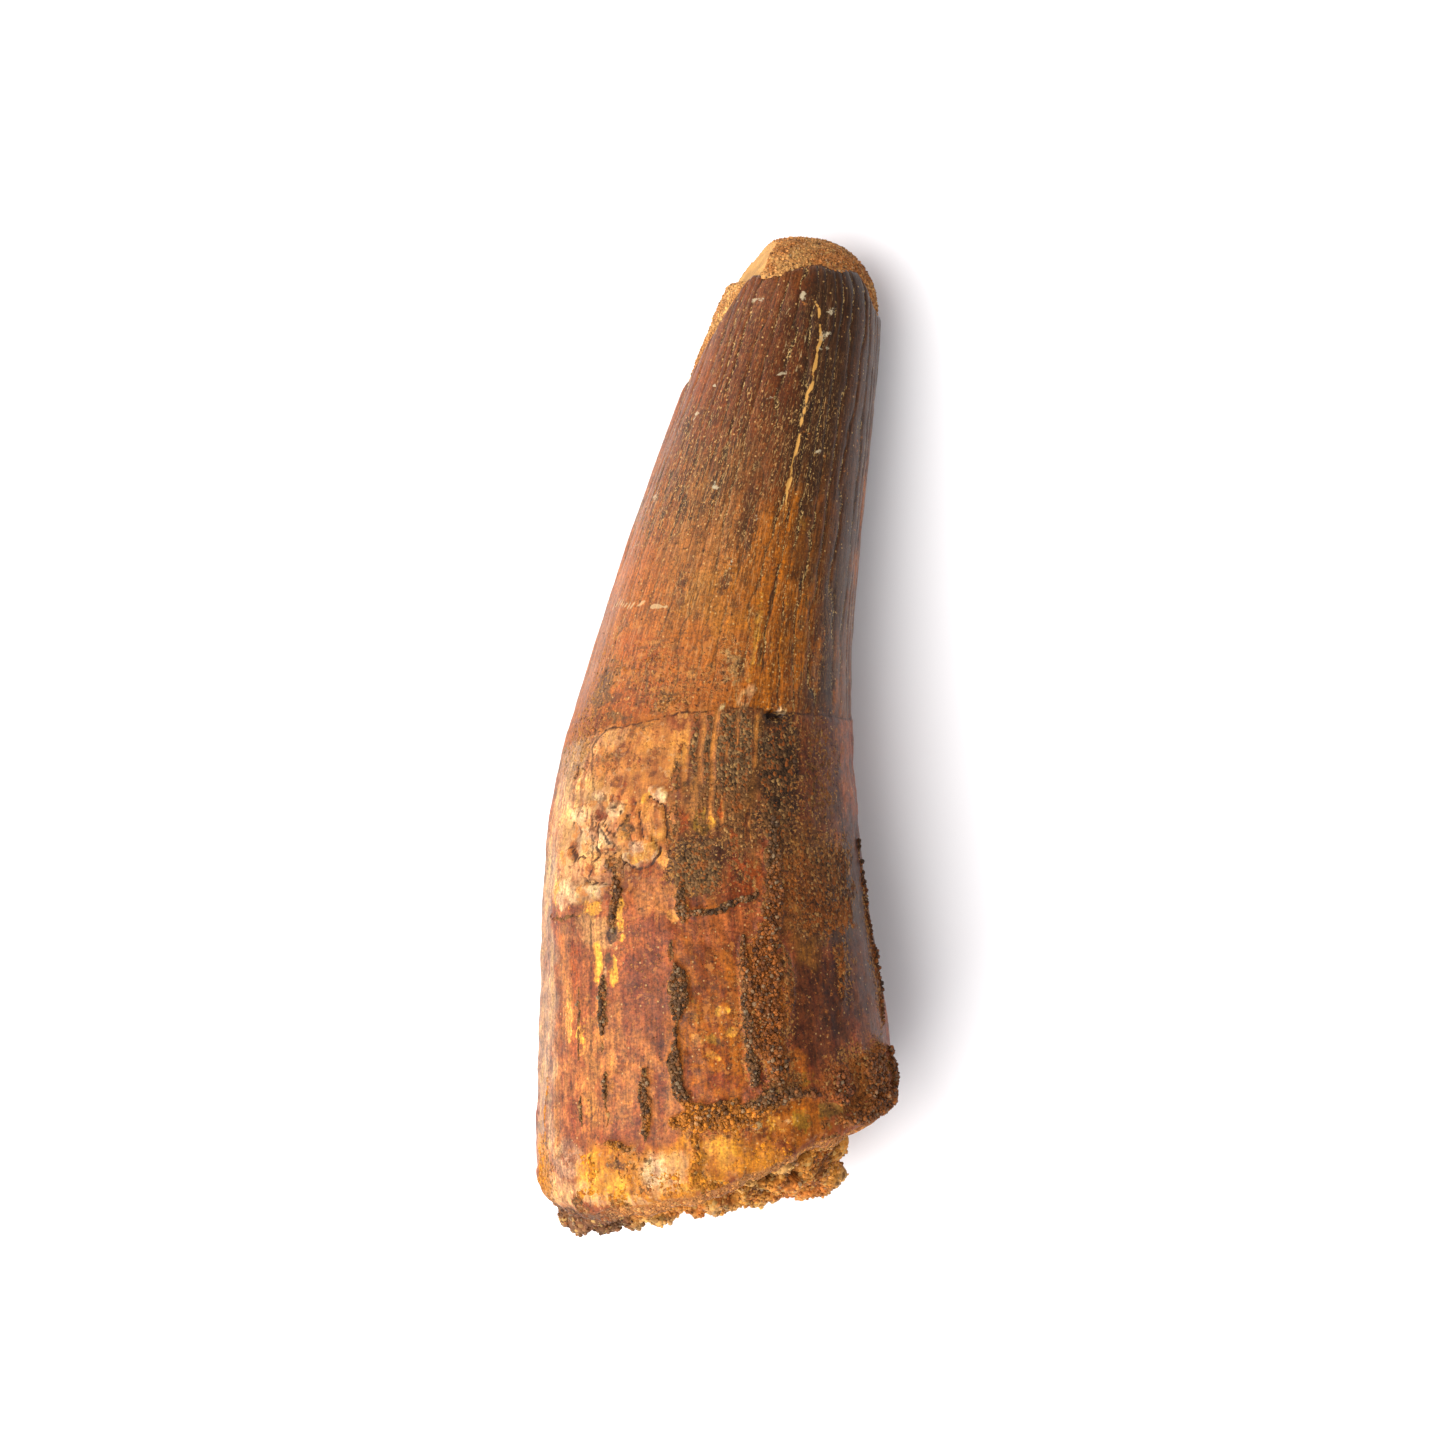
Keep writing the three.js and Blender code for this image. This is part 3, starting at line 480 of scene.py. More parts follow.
# Cracks between them, and the edge of the hole in the mended crack: points, half width, depth.
CRACKS = [
    ([(-11.6, -11.1), (-11.1, -10.5), (-9.8, -9.9), (-9.2, -10.1), (-8.4, -9.9)], 0.11, 0.3),
    ([(-10.4, -7.4), (-10.2, -8.4), (-9.8, -9.6)], 0.11, 0.28),
    ([(-4.9, -9.0), (-5.0, -10.0), (-5.7, -11.3), (-6.9, -11.2), (-7.9, -10.6)], 0.11, 0.3),
    ([(-11.3, -12.3), (-10.2, -12.4), (-9.0, -12.9)], 0.13, 0.34),
    ([(-5.9, -5.3), (-5.0, -5.8), (-4.1, -6.0)], 0.1, 0.26), ([(-6.4, -6.2), (-6.3, -8.9)], 0.08, 0.14),
    ([(-4.4, -6.0), (-4.3, -8.8)], 0.11, 0.2), ([(-8.3, -9.6), (-7.8, -10.6), (-8.0, -12.4)], 0.09, 0.16),
    ([(-12.2, -9.5), (-12.0, -10.3), (-12.2, -11.2)], 0.22, 0.16),
    ([(-13.6, -9.0), (-13.2, -11.0)], 0.07, 0.14), ([(-10.6, -3.4), (-10.9, -4.6), (-12.2, -5.2)], 0.06, 0.1),
    ([(4.2, 1.55), (4.8, 1.45), (5.7, 1.5)], 0.24, 0.7),
]
# Bare lines between the smears, along the flutes: points, half width.
BARE_LINES = [
    ([(-2.45, 0.6), (-2.75, -5.0)], 0.2), ([(-1.1, 1.9), (-1.45, -4.4)], 0.19),
    ([(0.0, 1.6), (-0.42, -4.1)], 0.19), ([(1.75, 1.7), (1.7, -1.0)], 0.09),
    ([(3.35, 1.7), (3.05, -2.8)], 0.16), ([(0.9, -0.6), (0.8, -2.4)], 0.1),
    ([(-0.45, -4.8), (-0.5, -8.0)], 0.16), ([(0.45, -5.6), (0.4, -7.6)], 0.16),
    ([(2.6, -6.2), (2.5, -9.0)], 0.2),
]
YELLOW_VEIN = [
    (8.0, 36.6), (8.6, 35.6), (8.7, 33.5), (8.4, 32), (8.1, 30), (7.7, 28), (7.3, 26), (6.8, 24),
    (6.3, 22.4), (6.0, 21), (5.85, 18.6),
]
SCUFFS = [
    (7.5, 36.7), (9.55, 35.6), (9.1, 33.6), (8.9, 32.4), (5.8, 30.2), (-1.7, 26.8), (0, 20.8), (3.6, 18.3),
    (-5.3, 19.8), (-0.6, 29.3), (8.4, 23.8), (4.3, 28.3), (3.4, 36.2), (1.2, 14.4), (8.0, 19.3),
]
# Fine pale scratches and hairlines: points, strength.
SCRATCHES = [
    ([(-8.7, 10.7), (-6.5, 10.9), (-4.2, 10.7)], 2.6), ([(3.6, 38.0), (5.6, 37.2), (8.8, 36.8)], 0.4),
    ([(-7.4, -24.2), (-7.2, -25.8)], 0.6), ([(-7.9, -26.6), (-7.3, -27.8)], 0.6),
    ([(-8.1, -32.0), (-7.6, -34.2)], 0.4), ([(6.0, 35.8), (5.9, 33.6), (5.6, 31.6)], 0.7),
    ([(5.4, 31.2), (5.2, 29.4), (4.9, 24.6)], 0.5),
    ([(8.0, 35.4), (7.6, 33.6), (6.9, 31.6), (6.3, 28.6)], 0.8),
    ([(9.9, 38.2), (9.4, 35.0), (9.3, 33.2)], 0.6), ([(1.3, 29.6), (1.1, 27.2), (0.6, 24.8)], 0.6),
    ([(2.2, 27.4), (1.8, 25.0), (1.4, 22.8)], 0.6),
]
# Dark streaks along the flutes: middle, reach, share covered.
STREAKS = [
    ((-3.0, 21.5), (5.2, 7.0), 1.0), ((0.6, 25), (3.4, 6), 0.8), ((2.4, 31), (5.5, 8), 0.45),
    ((6.8, 24), (3.4, 9), 0.75), ((3.2, 16), (3.6, 6), 0.7), ((6.5, 8), (5.0, 9), 0.55),
    ((-2.4, 12.5), (3.2, 3.6), 0.5),
]
# Where the enamel is mottled with orange and dark spots: middle, reach, share covered.
BLOTCHES = [
    ((-5.0, 5.4), (6.2, 4.6), 1.0), ((-7.4, -1.8), (5.0, 4.4), 0.8), ((-9.6, -9.2), (4.6, 6.4), 0.8),
    ((-6.0, -19), (3.4, 8), 0.45), ((-0.2, -22.5), (3.0, 9), 0.6), ((8.4, -21), (3, 7), 0.4),
    ((-7, -31), (8, 6), 0.35), ((4, -34.5), (9, 4), 0.6), ((-8, -37), (7, 3.5), 0.6), ((9, -10), (4, 8), 0.5),
]

# Where the enamel is worn matt: middle, reach, share.
WORN = [((-6, -1.6), (4.6, 4.4), 1), ((-6.5, -37.4), (6.5, 3.6), 0.8), ((4, -34.5), (7, 3), 0.4)]
FLAKED_PLACE, FLAKED_REACH = (-9.8, -9.2), (4.4, 6.0)  # the patch of scales
SCUFF_REACH = (0.7, 0.6)
# The hole in the mended crack.
HOLE_PLACE, HOLE_REACH, HOLE_DEPTH = (4.95, 1.5), (0.95, 0.28), 0.35

TOOTH_SEGMENTS, TOOTH_RINGS, WALL_RINGS = 312, 290, 9
PLUG_SEGMENTS, PLUG_RINGS = 330, 110
CAP_SEGMENTS, CAP_RINGS, CAP_INSET = 300, 80, 0.975
CROWN_RADIUS = 12.0  # of the round that the flutes' patterns are laid on
SPOT_REACH = 1.25  # washes that reach less are spots, whose edges the finish tears
CREST_CROWDING = 0.45  # points crowd towards the crest by this share
ENAMEL_CROWDING = [(0, 0), (0.72, 0.56), (0.95, 0.965), (1, 1)]  # and towards the root end and the tip


def lay(colours, cover, colour):
    """Lays a colour over colours, as thickly as its cover says."""
    colours += cover[..., None] * (colour - colours)


class Skin:
    """A grid of points on the crown, and where each lies when the surface is rolled out."""

    def __init__(self, angle, y):
        self.angle, self.y = np.broadcast_arrays(angle, y)
        self.point = on_section(1.0, self.angle, self.y)
        p = self.point
        self.broad, self.medium, self.fine = (
            rough_noise(p, size, salt, 3) for size, salt in ((3.2, 1), (1.4, 2), (0.6, 3))
        )
        self.drawn_out = rough_noise(p * (1, 0.3, 1), 1.3, 4)
        turned = (self.angle + math.pi) % (2 * math.pi) - math.pi
        away = np.abs(turned)
        beyond = smoothstep(1.4, 2.4, away)  # the belly's marks are the crest's, warped out of likeness
        folded = np.where(away > math.pi / 2, math.pi - away, away) + beyond * 0.8 * (noise(p, 7.0, 5) - 0.5)
        self.wobble = 0.7 * (rough_noise(p, 1.5, 6, 3) - 0.5)
        self.around = section(self.y)[1] * np.sign(turned) * folded + self.wobble
        warp = beyond * (10.0 * (noise(p, 9.0, 7) - 0.5) + 2.0)
        self.along = self.y + warp + 0.9 * (rough_noise(p, 1.5, 8, 3) - 0.5)
        self.crest_side = 1 - smoothstep(1.5, 1.9, away)

    def to_line(self, seen, steadiness=0.0):
        """Each point's distance to a line through marks, and its share of the way along."""
        around = self.around - steadiness * self.wobble
        marks = np.array([unrolled(*mark)[:2] for mark in seen])
        nearest = np.full(self.y.shape, 99.0)
        share = np.zeros(self.y.shape)
        for n, (start, end) in enumerate(zip(marks[:-1], marks[1:])):
            step = end - start
            across, up = around - start[0], self.along - start[1]
            t = np.clip((across * step[0] + up * step[1]) / (step @ step), 0, 1)
            away = np.hypot(across - t * step[0], up - t * step[1])
            share = np.where(away < nearest, (n + t) / (len(marks) - 1), share)
            nearest = np.minimum(nearest, away)
        return nearest, share

    def to_patch(self, seen, reach):
        """Each point's distance to the middle of a patch, as a share of the patch's reach."""
        around, along, slant = unrolled(*seen)
        across = np.abs(self.around - around) * slant / reach[0]
        up = np.abs(self.along - along) / reach[1]
        return (across**2.2 + up**2.2) ** (1 / 2.2)

    def painted(self, base, washes, pigments):
        """Colours from washes laid one over the other, with wandering edges."""
        colour = np.broadcast_to(pigments[base], self.y.shape + (3,)).copy()
        edge = 0.6 * (self.drawn_out - 0.5) + 0.4 * (self.fine - 0.5) + 0.6 * (self.broad - 0.5)
        for pigment, middle, reach, strength in washes:
            if min(reach) >= SPOT_REACH:
                soft = 0.05 + 0.08 * min(reach)
                cover = 1 - smoothstep(1 - soft, 1 + soft, self.to_patch(middle, reach) + edge)
                lay(colour, strength * cover, pigments[pigment])
        return colour

    def spotted(self, washes, pigments):
        """The colours of the small washes, and how surely each point is in one of them."""
        colour = np.zeros(self.y.shape + (3,))
        cover = np.zeros(self.y.shape)
        edge = 0.6 * (self.medium - 0.5) + 0.5 * (self.fine - 0.5) + 0.3 * (self.drawn_out - 0.5)
        for pigment, middle, reach, strength in washes:
            if min(reach) < SPOT_REACH:
                away = self.to_patch(middle, reach) + edge
                near = 1 - smoothstep(1.2, 1.7, away)
                lay(colour, near, pigments[pigment])
                cover = np.maximum(cover * (1 - 0.6 * near), strength * (1 - smoothstep(0.35, 1.65, away)))
        return colour, cover

    def strewn(self, patches, full=0.5, none=1.25, ragged=0.8):
        """The greatest share covered by any of some patches, and how their ragged edges thin out."""
        share = np.zeros(self.y.shape)
        for middle, reach, amount in patches:
            away = self.to_patch(middle, reach) + ragged * (self.medium - 0.5)
            share = np.maximum(share, amount * (1 - smoothstep(full, none, away)))
        return share


def flute_wave(skin, count):
    """A wave round the crown that crosses nought at each groove, for slightly uneven flutes."""
    place = np.stack([np.sin(skin.angle) * 4, np.cos(skin.angle) * 4, skin.y * 0.06], -1)
    wander = 1.6 * (noise(place, 1.0, 9) - 0.5) + 0.5 * (noise(place * (3, 3, 6), 1.0, 15) - 0.5)
    wander += 0.3 * (noise(place * (3, 3, 18), 1.0, 16) - 0.5)
    return np.sin(count * skin.angle / 2 + math.pi * wander)


def crown_marks(skin, look):
    """How far the surface rises, and the masks and colours that its finish reads."""
    p, y, fine, medium = skin.point, skin.y, skin.fine, skin.medium
    upper = smoothstep(-1, 6, y + 3 * (skin.broad - 0.5))

    # Flutes: low ridges between narrow grooves.
    wave = flute_wave(skin, look.flutes)
    fluted = 0.3 * smoothstep(10, 18, y) + smoothstep(23, 31, y) + smoothstep(0, 4, skin.around)
    fluted = upper * (0.25 + 0.75 * np.clip(fluted, 0, 1))
    deep = (0.3 + 0.9 * rough_noise(p * (1, 0.15, 1), 0.9, 10, 2)) * (0.1 + 0.9 * fluted)
    rise = -look.flute_depth / MM * deep * (np.exp(-((wave / 0.3) ** 2)) + 0.35 * (1 - wave * wave))
    for degrees in CARINAE:
        away = np.abs((np.degrees(skin.angle) - degrees + 180) % 360 - 180)
        rise += 0.2 * np.exp(-((away / 5) ** 2)) * (0.8 + 0.4 * medium)

    # Dents, wear and small pits.
    rise += 0.2 * (skin.broad - 0.5) * (1.3 - upper) + 0.07 * (fine - 0.5) * (1.2 - upper)
    pits, _, depth = cells(p, 1.5, 11)
    pitted = smoothstep(0.62, 0.9, depth) * (1 - smoothstep(0.1, 0.4, pits)) * (1 - upper)
    rise -= 0.12 * pitted

    # The mended crack: a thin dark line, with the root side standing proud of it.
    marks = np.array([unrolled(*mark)[:2] for mark in MENDED_CRACK])
    above = y + 0.25 * (fine - 0.5) + 0.3 * (medium - 0.5) - np.interp(skin.around, *marks.T)
    below = smoothstep(0.09, -0.09, above)
    step_shown = skin.crest_side * smoothstep(-12, -8.5, p[..., 0])
    rise += step_shown * (0.14 * below - 0.14 * np.exp(-((above / 0.14) ** 2)) * smoothstep(0.3, 0.6, medium))

    # The flaked patch: scales of enamel at their own levels, with cracks between them.
    flaked = 1 - smoothstep(0.75, 1.1, skin.to_patch(FLAKED_PLACE, FLAKED_REACH) + 0.6 * (medium - 0.5))
    _, between, level = cells(p * (1, 0.75, 0.6), 1.7, 12)
    rise += flaked * (0.34 * (level - 0.75) - 0.06 - 0.16 * (1 - smoothstep(0.03, 0.16, between)))
    cut = flaked * np.clip(1 - between / 0.4, 0, 1) * (0.55 + 0.4 * level)
    flakes = []
    for middle, reach, up, pigment in FLAKES:
        away = skin.to_patch(middle, reach) + 0.35 * (fine - 0.5) + 0.3 * (level - 0.5)
        flake = 1 - smoothstep(0.88, 1.02, away)
        flakes.append((flake, pigment))
        rise += up * flake * (0.7 + 0.3 * away)
        outlined = np.clip(1 - np.abs(away - 1) * min(reach) / 0.35, 0, 1)
        cut = np.maximum(cut, outlined * (0.5 + 0.4 * medium) * flaked)
    for points, width, depth in CRACKS:
        away, share = skin.to_line(points)
        within = smoothstep(0, 0.1, share * (1 - share) * 2)
        rise -= depth * np.exp(-((away / width / 1.35) ** 2)) * within
        cut = np.maximum(cut, np.clip(1 - away / width / 3.6, 0, 1) * (0.75 + 0.25 * within))

    # The crust of sand and cement.
    sand = np.zeros(y.shape)
    lumps = 0.4 + 1.2 * rough_noise(p, 0.6, 13, 3)
    thinning = rough_noise(p, 2.0, 14, 3)
    for points, width, up, thick in CRUSTS:
        away, share = skin.to_line(points)
        taper = 0.45 + 0.55 * smoothstep(0, 0.25, np.minimum(share, 1 - share))
        body = away / (width * taper * (0.7 + 0.6 * thinning)) + 0.4 * (fine - 0.5)
        cover = 1 - smoothstep(0.6, 1.7, body)
        sand = np.maximum(sand, thick * cover)
        rise += up * cover * lumps
    smeared = skin.strewn(SMEARS)
    bare = np.zeros(y.shape)
    for points, width in BARE_LINES:
        away, _ = skin.to_line(points, 0.8)
        bare = np.maximum(bare, 1 - smoothstep(0.5, 1.5, away / width + 0.5 * (fine - 0.5)))
    for flake, _ in flakes:
        bare = np.maximum(bare, 0.7 * flake)
    hole = 1 - smoothstep(0.8, 1.2, skin.to_patch(HOLE_PLACE, HOLE_REACH) + 0.6 * (fine - 0.5))
    rise -= HOLE_DEPTH * hole
    sand = np.maximum(sand, smeared) * (1 - np.maximum(bare, hole))
    rise += 0.08 * smeared * (1 - bare) * lumps
    near_rim = 1 - smoothstep(0.3, 2.4, y - root_rim(skin.angle) + 2.5 * (skin.broad - 0.5))
    sand = np.maximum(sand, 0.65 * near_rim * smoothstep(0.42, 0.62, medium))
    rise += near_rim * (0.5 * medium + 0.3 * fine - 0.25)

    # The vein, which thins towards both its ends, the scuffs and the scratches.
    vein, share = skin.to_line(YELLOW_VEIN)
    vein = vein + 0.25 * (fine - 0.5) + 0.02 * smoothstep(0.4, 1, share) + 0.03 * smoothstep(0.4, 0.1, share)
    yellow = np.clip(1 - vein / 0.6, 0, 1)
    scuffed = np.zeros(y.shape)
    for mark in SCUFFS:
        away = skin.to_patch(mark, SCUFF_REACH) + 1.2 * (fine - 0.45)
        scuffed = np.maximum(scuffed, 0.62 * (1 - smoothstep(0.2, 1.3, away)))
    scratched = np.zeros(y.shape)
    for points, strength in SCRATCHES:
        away, _ = skin.to_line(points)
        scratched = np.maximum(scratched, np.clip(1 - away / 0.5, 0, 1) * (0.7 + 0.3 * strength))

    # The colours of the ground, the spots in it and the crust.
    pigments = look.pigments()
    ground = skin.painted("caramel", STAINS, pigments)
    lay(ground, below, skin.painted("brick", LOWER_STAINS, pigments))
    lay(ground, 0.85 * bare * (1 - flaked), pigments["orange_brown"])
    for flake, pigment in flakes:
        lay(ground, 0.7 * flake, pigments[pigment])
    # The hole is painted almost black: painted shade inside the hole.
    ground *= (1 - 0.97 * hole)[..., None]
    ground *= 1 + (flaked * (0.8 * level - 0.42))[..., None]
    spot, spotted = skin.spotted(STAINS + LOWER_STAINS, pigments)
    worn = np.maximum(np.maximum(flaked * 0.9, near_rim), skin.strewn(WORN, 0.7, 1.2, 0.5))
    speckled = np.maximum(skin.strewn(SPECKLES) * (1 - 0.8 * bare), 0.12 * (1 - upper))
    return rise, {
        "ground": ground, "earth": skin.painted("dark_earth", EARTHS, pigments), "spot": spot,
        "spotted": spotted, "sand": sand, "flute_wave": wave, "cut": cut, "yellow": yellow,
        "above_crack": np.clip(above, -1, 1) * step_shown + 1 - step_shown,
        "fluted": fluted, "blotched": skin.strewn(BLOTCHES), "speckled": speckled,
        "streaked": skin.strewn(STREAKS), "scuffed": scuffed, "scratched": scratched,
        "worn": np.clip(worn, 0, 1), "upper": upper,
    }


# ---------------------------------------------------------------------------------------------
# Making meshes.

def deselect():
    if bpy.context.object and bpy.context.object.mode != "OBJECT":
        bpy.ops.object.mode_set(mode="OBJECT")
    bpy.ops.object.select_all(action="DESELECT")


def lofted(name, rings):
    """A closed piece from a ball, whose parallels are moved to the rings of a form.

    The rings are an array of points, ring by ring. The ball's poles go to the first and last
    ring's middle. Gives the piece, and which ring and which place round it each point has."""
    ring_count, segments = rings.shape[:2]
    deselect()
    bpy.ops.mesh.primitive_uv_sphere_add(segments=segments, ring_count=ring_count + 1, radius=1)
    piece = bpy.context.object
    piece.name = piece.data.name = name
    ball = np.empty(len(piece.data.vertices) * 3)
    piece.data.vertices.foreach_get("co", ball)
    ball = ball.reshape(-1, 3)
    parallel = np.arctan2(np.hypot(ball[:, 0], ball[:, 1]), ball[:, 2]) * (ring_count + 1) / math.pi
    parallel = np.rint(parallel).astype(int)
    meridian = np.rint(np.arctan2(ball[:, 1], ball[:, 0]) * segments / (2 * math.pi)).astype(int) % segments
    ring = np.clip(parallel - 1, 0, ring_count - 1)
    at_pole = (parallel == 0) | (parallel == ring_count + 1)
    placed = np.where(at_pole[:, None], rings.mean(axis=1)[ring], rings[ring, meridian])
    piece.data.vertices.foreach_set("co", (placed * MM).ravel())
    bpy.ops.object.mode_set(mode="EDIT")
    bpy.ops.mesh.select_all(action="SELECT")
    bpy.ops.mesh.normals_make_consistent(inside=False)
    bpy.ops.object.mode_set(mode="OBJECT")
    bpy.ops.object.shade_smooth()
    return piece, ring, meridian


def give(piece, name, values):
    """Puts a number, a colour or a direction on each of a piece's points."""
    values = np.asarray(values, float)
    if values.ndim == 1:
        layer = piece.data.attributes.new(name, "FLOAT", "POINT")
        layer.data.foreach_set("value", values)
    elif name.endswith("_place"):
        layer = piece.data.attributes.new(name, "FLOAT_VECTOR", "POINT")
        layer.data.foreach_set("vector", values.ravel())
    else:
        layer = piece.data.attributes.new(name, "FLOAT_COLOR", "POINT")
        layer.data.foreach_set("color", np.insert(values, 3, 1.0, axis=1).ravel())


def read(piece, name, width=1):
    """The values that give() put on a piece's points."""
    field = {1: "value", 4: "color"}[width]
    values = np.empty(len(piece.data.vertices) * width)
    piece.data.attributes[name].data.foreach_get(field, values)
    return values if width == 1 else values.reshape(-1, width)


def finish_piece(piece, material, slot, *replaced):
    """Gives a piece its material and its place in the frame."""
    piece.data.materials.clear()
    piece.data.materials.append(material)
    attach(piece, "root")
    if replaced:
        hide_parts(*replaced)


def crowded(segments):
    """Angles round a piece that lie closer together on the crest than on the belly."""
    even = np.arange(segments) * 2 * math.pi / segments
    return even - CREST_CROWDING * np.sin(even)


def circle(angle, radius):
    """Points round a circle, for patterns that run round a broken edge."""
    return np.stack([np.sin(angle), np.cos(angle), angle * 0], -1) * radius


def on_break(share, tip):
    """Where the broken tip's face is, at a share of the way from its middle to its edge."""
    return BREAK_MIDDLE_Y + (tip - BREAK_MIDDLE_Y) * share


def in_lobe(points):
    """How surely points near the root's broken end are in its dark corner."""
    return 1 - smoothstep(2.8, 4.6, np.hypot(points[..., 0] + 10.4, (points[..., 2] - 14) / 2.6))


def build_tooth(look):
    angle = crowded(TOOTH_SEGMENTS)
    rim, tip = root_rim(angle), tip_break(angle)
    around = circle(angle, CROWN_RADIUS)
    rim = rim + 0.7 * (rough_noise(around, 2.2, 30) - 0.5)
    tip = tip + 0.45 * (rough_noise(around, 1.2, 31) - 0.5)
    share = smooth_through(ENAMEL_CROWDING)(np.linspace(0, 1, TOOTH_RINGS))
    skin = Skin(angle[None, :], rim + (tip - rim) * share[:, None])
    rise, marks = crown_marks(skin, look)
    ring = np.arange(TOOTH_RINGS)
    edge = 0.25 * np.exp(-(ring / 1.3) ** 2) + 0.1 * np.exp(-ring[::-1] ** 2.0)  # rounded at both breaks
    enamel = on_section(1.0, skin.angle, skin.y, rise - edge[:, None])
    enamel[..., 2] = np.maximum(enamel[..., 2], 0.0)

    cavity = [on_section(s, angle, rim + depth) for s, depth in CAVITY_WALL[::-1]]
    wall = []
    for s in np.linspace(CAVITY_WALL[0][0] + 0.02, 0.985, WALL_RINGS):
        place = on_section(s, angle, rim)
        ragged = 0.7 * (rough_noise(place, 1.1, 33) - 0.5) - 0.9 * math.sin(math.pi * min((1 - s) / 0.2, 1))
        wall.append(on_section(s, angle, rim + ragged))
    face = [on_section(s, angle, on_break(s, tip)) for s in (0.965, 0.8, 0.45)]
    before = np.array(cavity + wall)
    rings = np.concatenate([before, enamel, np.array(face)])
    piece, ring, meridian = lofted("tooth", rings)

    # Inside the cavity and on both broken ends the marks are plain.
    pigments = look.pigments()
    inside = {
        "sand": 0.55, "earth": pigments["wall"], "ground": pigments["wall"], "worn": 1.0, "flute_wave": 1.0,
        "above_crack": 1.0,
    }
    for name, values in marks.items():
        plain = np.broadcast_to(inside.get(name, 0.0), (1, 1) + values.shape[2:])
        ends = [
            np.broadcast_to(plain, (n, TOOTH_SEGMENTS) + values.shape[2:]) for n in (len(before), len(face))
        ]
        if name in ("earth", "ground"):
            lobe = 0.9 * in_lobe(before)[..., None]
            ends[0] = ends[0] * (1 - lobe) + lobe * pigments["lobe"]
        give(piece, name, np.concatenate([ends[0], values, ends[1]])[ring, meridian])
    along = circle(angle[meridian], CROWN_RADIUS)
    along[:, 2] = rings[ring, meridian][:, 1]
    give(piece, "flute_place", along)
    finish_piece(piece, enamel_material(look), "enamel", "tooth")
    return piece


def build_root_sandstone(look):
    angle = crowded(PLUG_SEGMENTS)
    rim = root_rim(angle)
    spread = plug_spread(angle) + 0.05 * (rough_noise(circle(angle, 10), 2.5, 50) - 0.5)
    ring = np.linspace(0.01, 1, PLUG_RINGS)[:, None]
    flat = on_section(ring * spread, angle, rim + 0 * ring)
    plane = PLUG_FACE_Y + PLUG_SLOPE_X * flat[..., 0]
    plane = plane + PLUG_SLOPE_Z * np.maximum(flat[..., 2] - PLUG_KNEE_Z, 0)
    plane = plane + 0.9 * (rough_noise(flat * (1, 0.3, 1), 4.0, 52) - 0.5)
    round_over = 0.26 - 0.14 * np.exp(-(((angle - 1.5 * math.pi) / 0.7) ** 2))
    rounding = np.sin(np.clip((1 - ring) / round_over, 0, 1) * math.pi / 2)
    edge_y = rim - 0.5
    y = edge_y + (np.minimum(plane, edge_y) - edge_y) * rounding
    smooth_face = on_section(ring * spread, angle, y)
    # Nodules, ledges and pits stand along the smooth face's normals.
    outwards = np.cross(
        np.roll(smooth_face, -1, axis=1) - np.roll(smooth_face, 1, axis=1), np.gradient(smooth_face, axis=0)
    )
    outwards = outwards / np.maximum(np.linalg.norm(outwards, axis=-1, keepdims=True), 1e-9)
    away, _, level = cells(smooth_face, 2.2, 51)
    small_away, _, small_level = cells(smooth_face, 0.9, 58)
    nodule = 1 - np.clip(away / 1.6, 0, 1) ** 2
    knob = 1 - np.clip(small_away / 0.7, 0, 1) ** 2
    lump = 1.7 * nodule * (0.3 + 0.7 * level) + 0.35 * knob * small_level - 0.7
    lump += 0.2 * (rough_noise(smooth_face, 0.7, 53) - 0.5)
    seen = smooth_face[..., :2]
    for place, reach, depth in PLUG_PITS:
        inside = np.hypot((seen[..., 0] - place[0]) / reach[0], (seen[..., 1] - place[1]) / reach[1])
        inside = inside + 0.5 * (small_level - 0.5)
        lump -= depth * (1 - smoothstep(0.5, 1.2, inside)) * (smooth_face[..., 2] > PIT_LEAST_Z)
    edge_fade = smoothstep(0, 0.05, 1 - ring)
    face = smooth_face + outwards * (lump * edge_fade)[..., None]
    face[..., 2] = np.maximum(face[..., 2], 0.0)
    under = on_section(spread - 0.04, angle, rim + 0.1)[None]
    wall = np.array([on_section(s - 0.022, angle, rim + depth - 0.3) for s, depth in CAVITY_WALL])
    rings = np.concatenate([face, under, wall])
    piece, ring_of, meridian = lofted("root_sandstone", rings)

    pigments = look.pigments()
    # Colour by height: the hollows are darkened as painted shade, and the lump tops are paled as a painted
    # highlight.
    shallow_painted_shade = smoothstep(-0.05, -0.5, lump) * smoothstep(0.4, 0.6, rough_noise(face, 1.2, 55))
    deep = np.clip(smoothstep(-0.35, -0.95, lump) + 0.5 * shallow_painted_shade, 0, 1)
    earth = np.broadcast_to(pigments["rust_sand"], rings.shape).copy()
    outside = earth[:PLUG_RINGS]
    lay(outside, smoothstep(0.4, 0.6, rough_noise(face, 2.4, 56)) * 0.8, pigments["ochre_sand"])
    lay(outside, smoothstep(0.15, 0.6, lump) * 0.75, pigments["pale_sand"])
    lay(outside, in_lobe(face) * 0.85, pigments["lobe"])
    lay(outside, deep * 0.85, pigments["pit"])
    give(piece, "earth", earth[ring_of, meridian])
    give(piece, "sand", np.where(ring_of < PLUG_RINGS, 1.0, 0.0))
    material = sandstone_material("Iron-cemented sandstone", 0.34, look)
    finish_piece(piece, material, "brown_sandstone", "root_sandstone")
    return piece


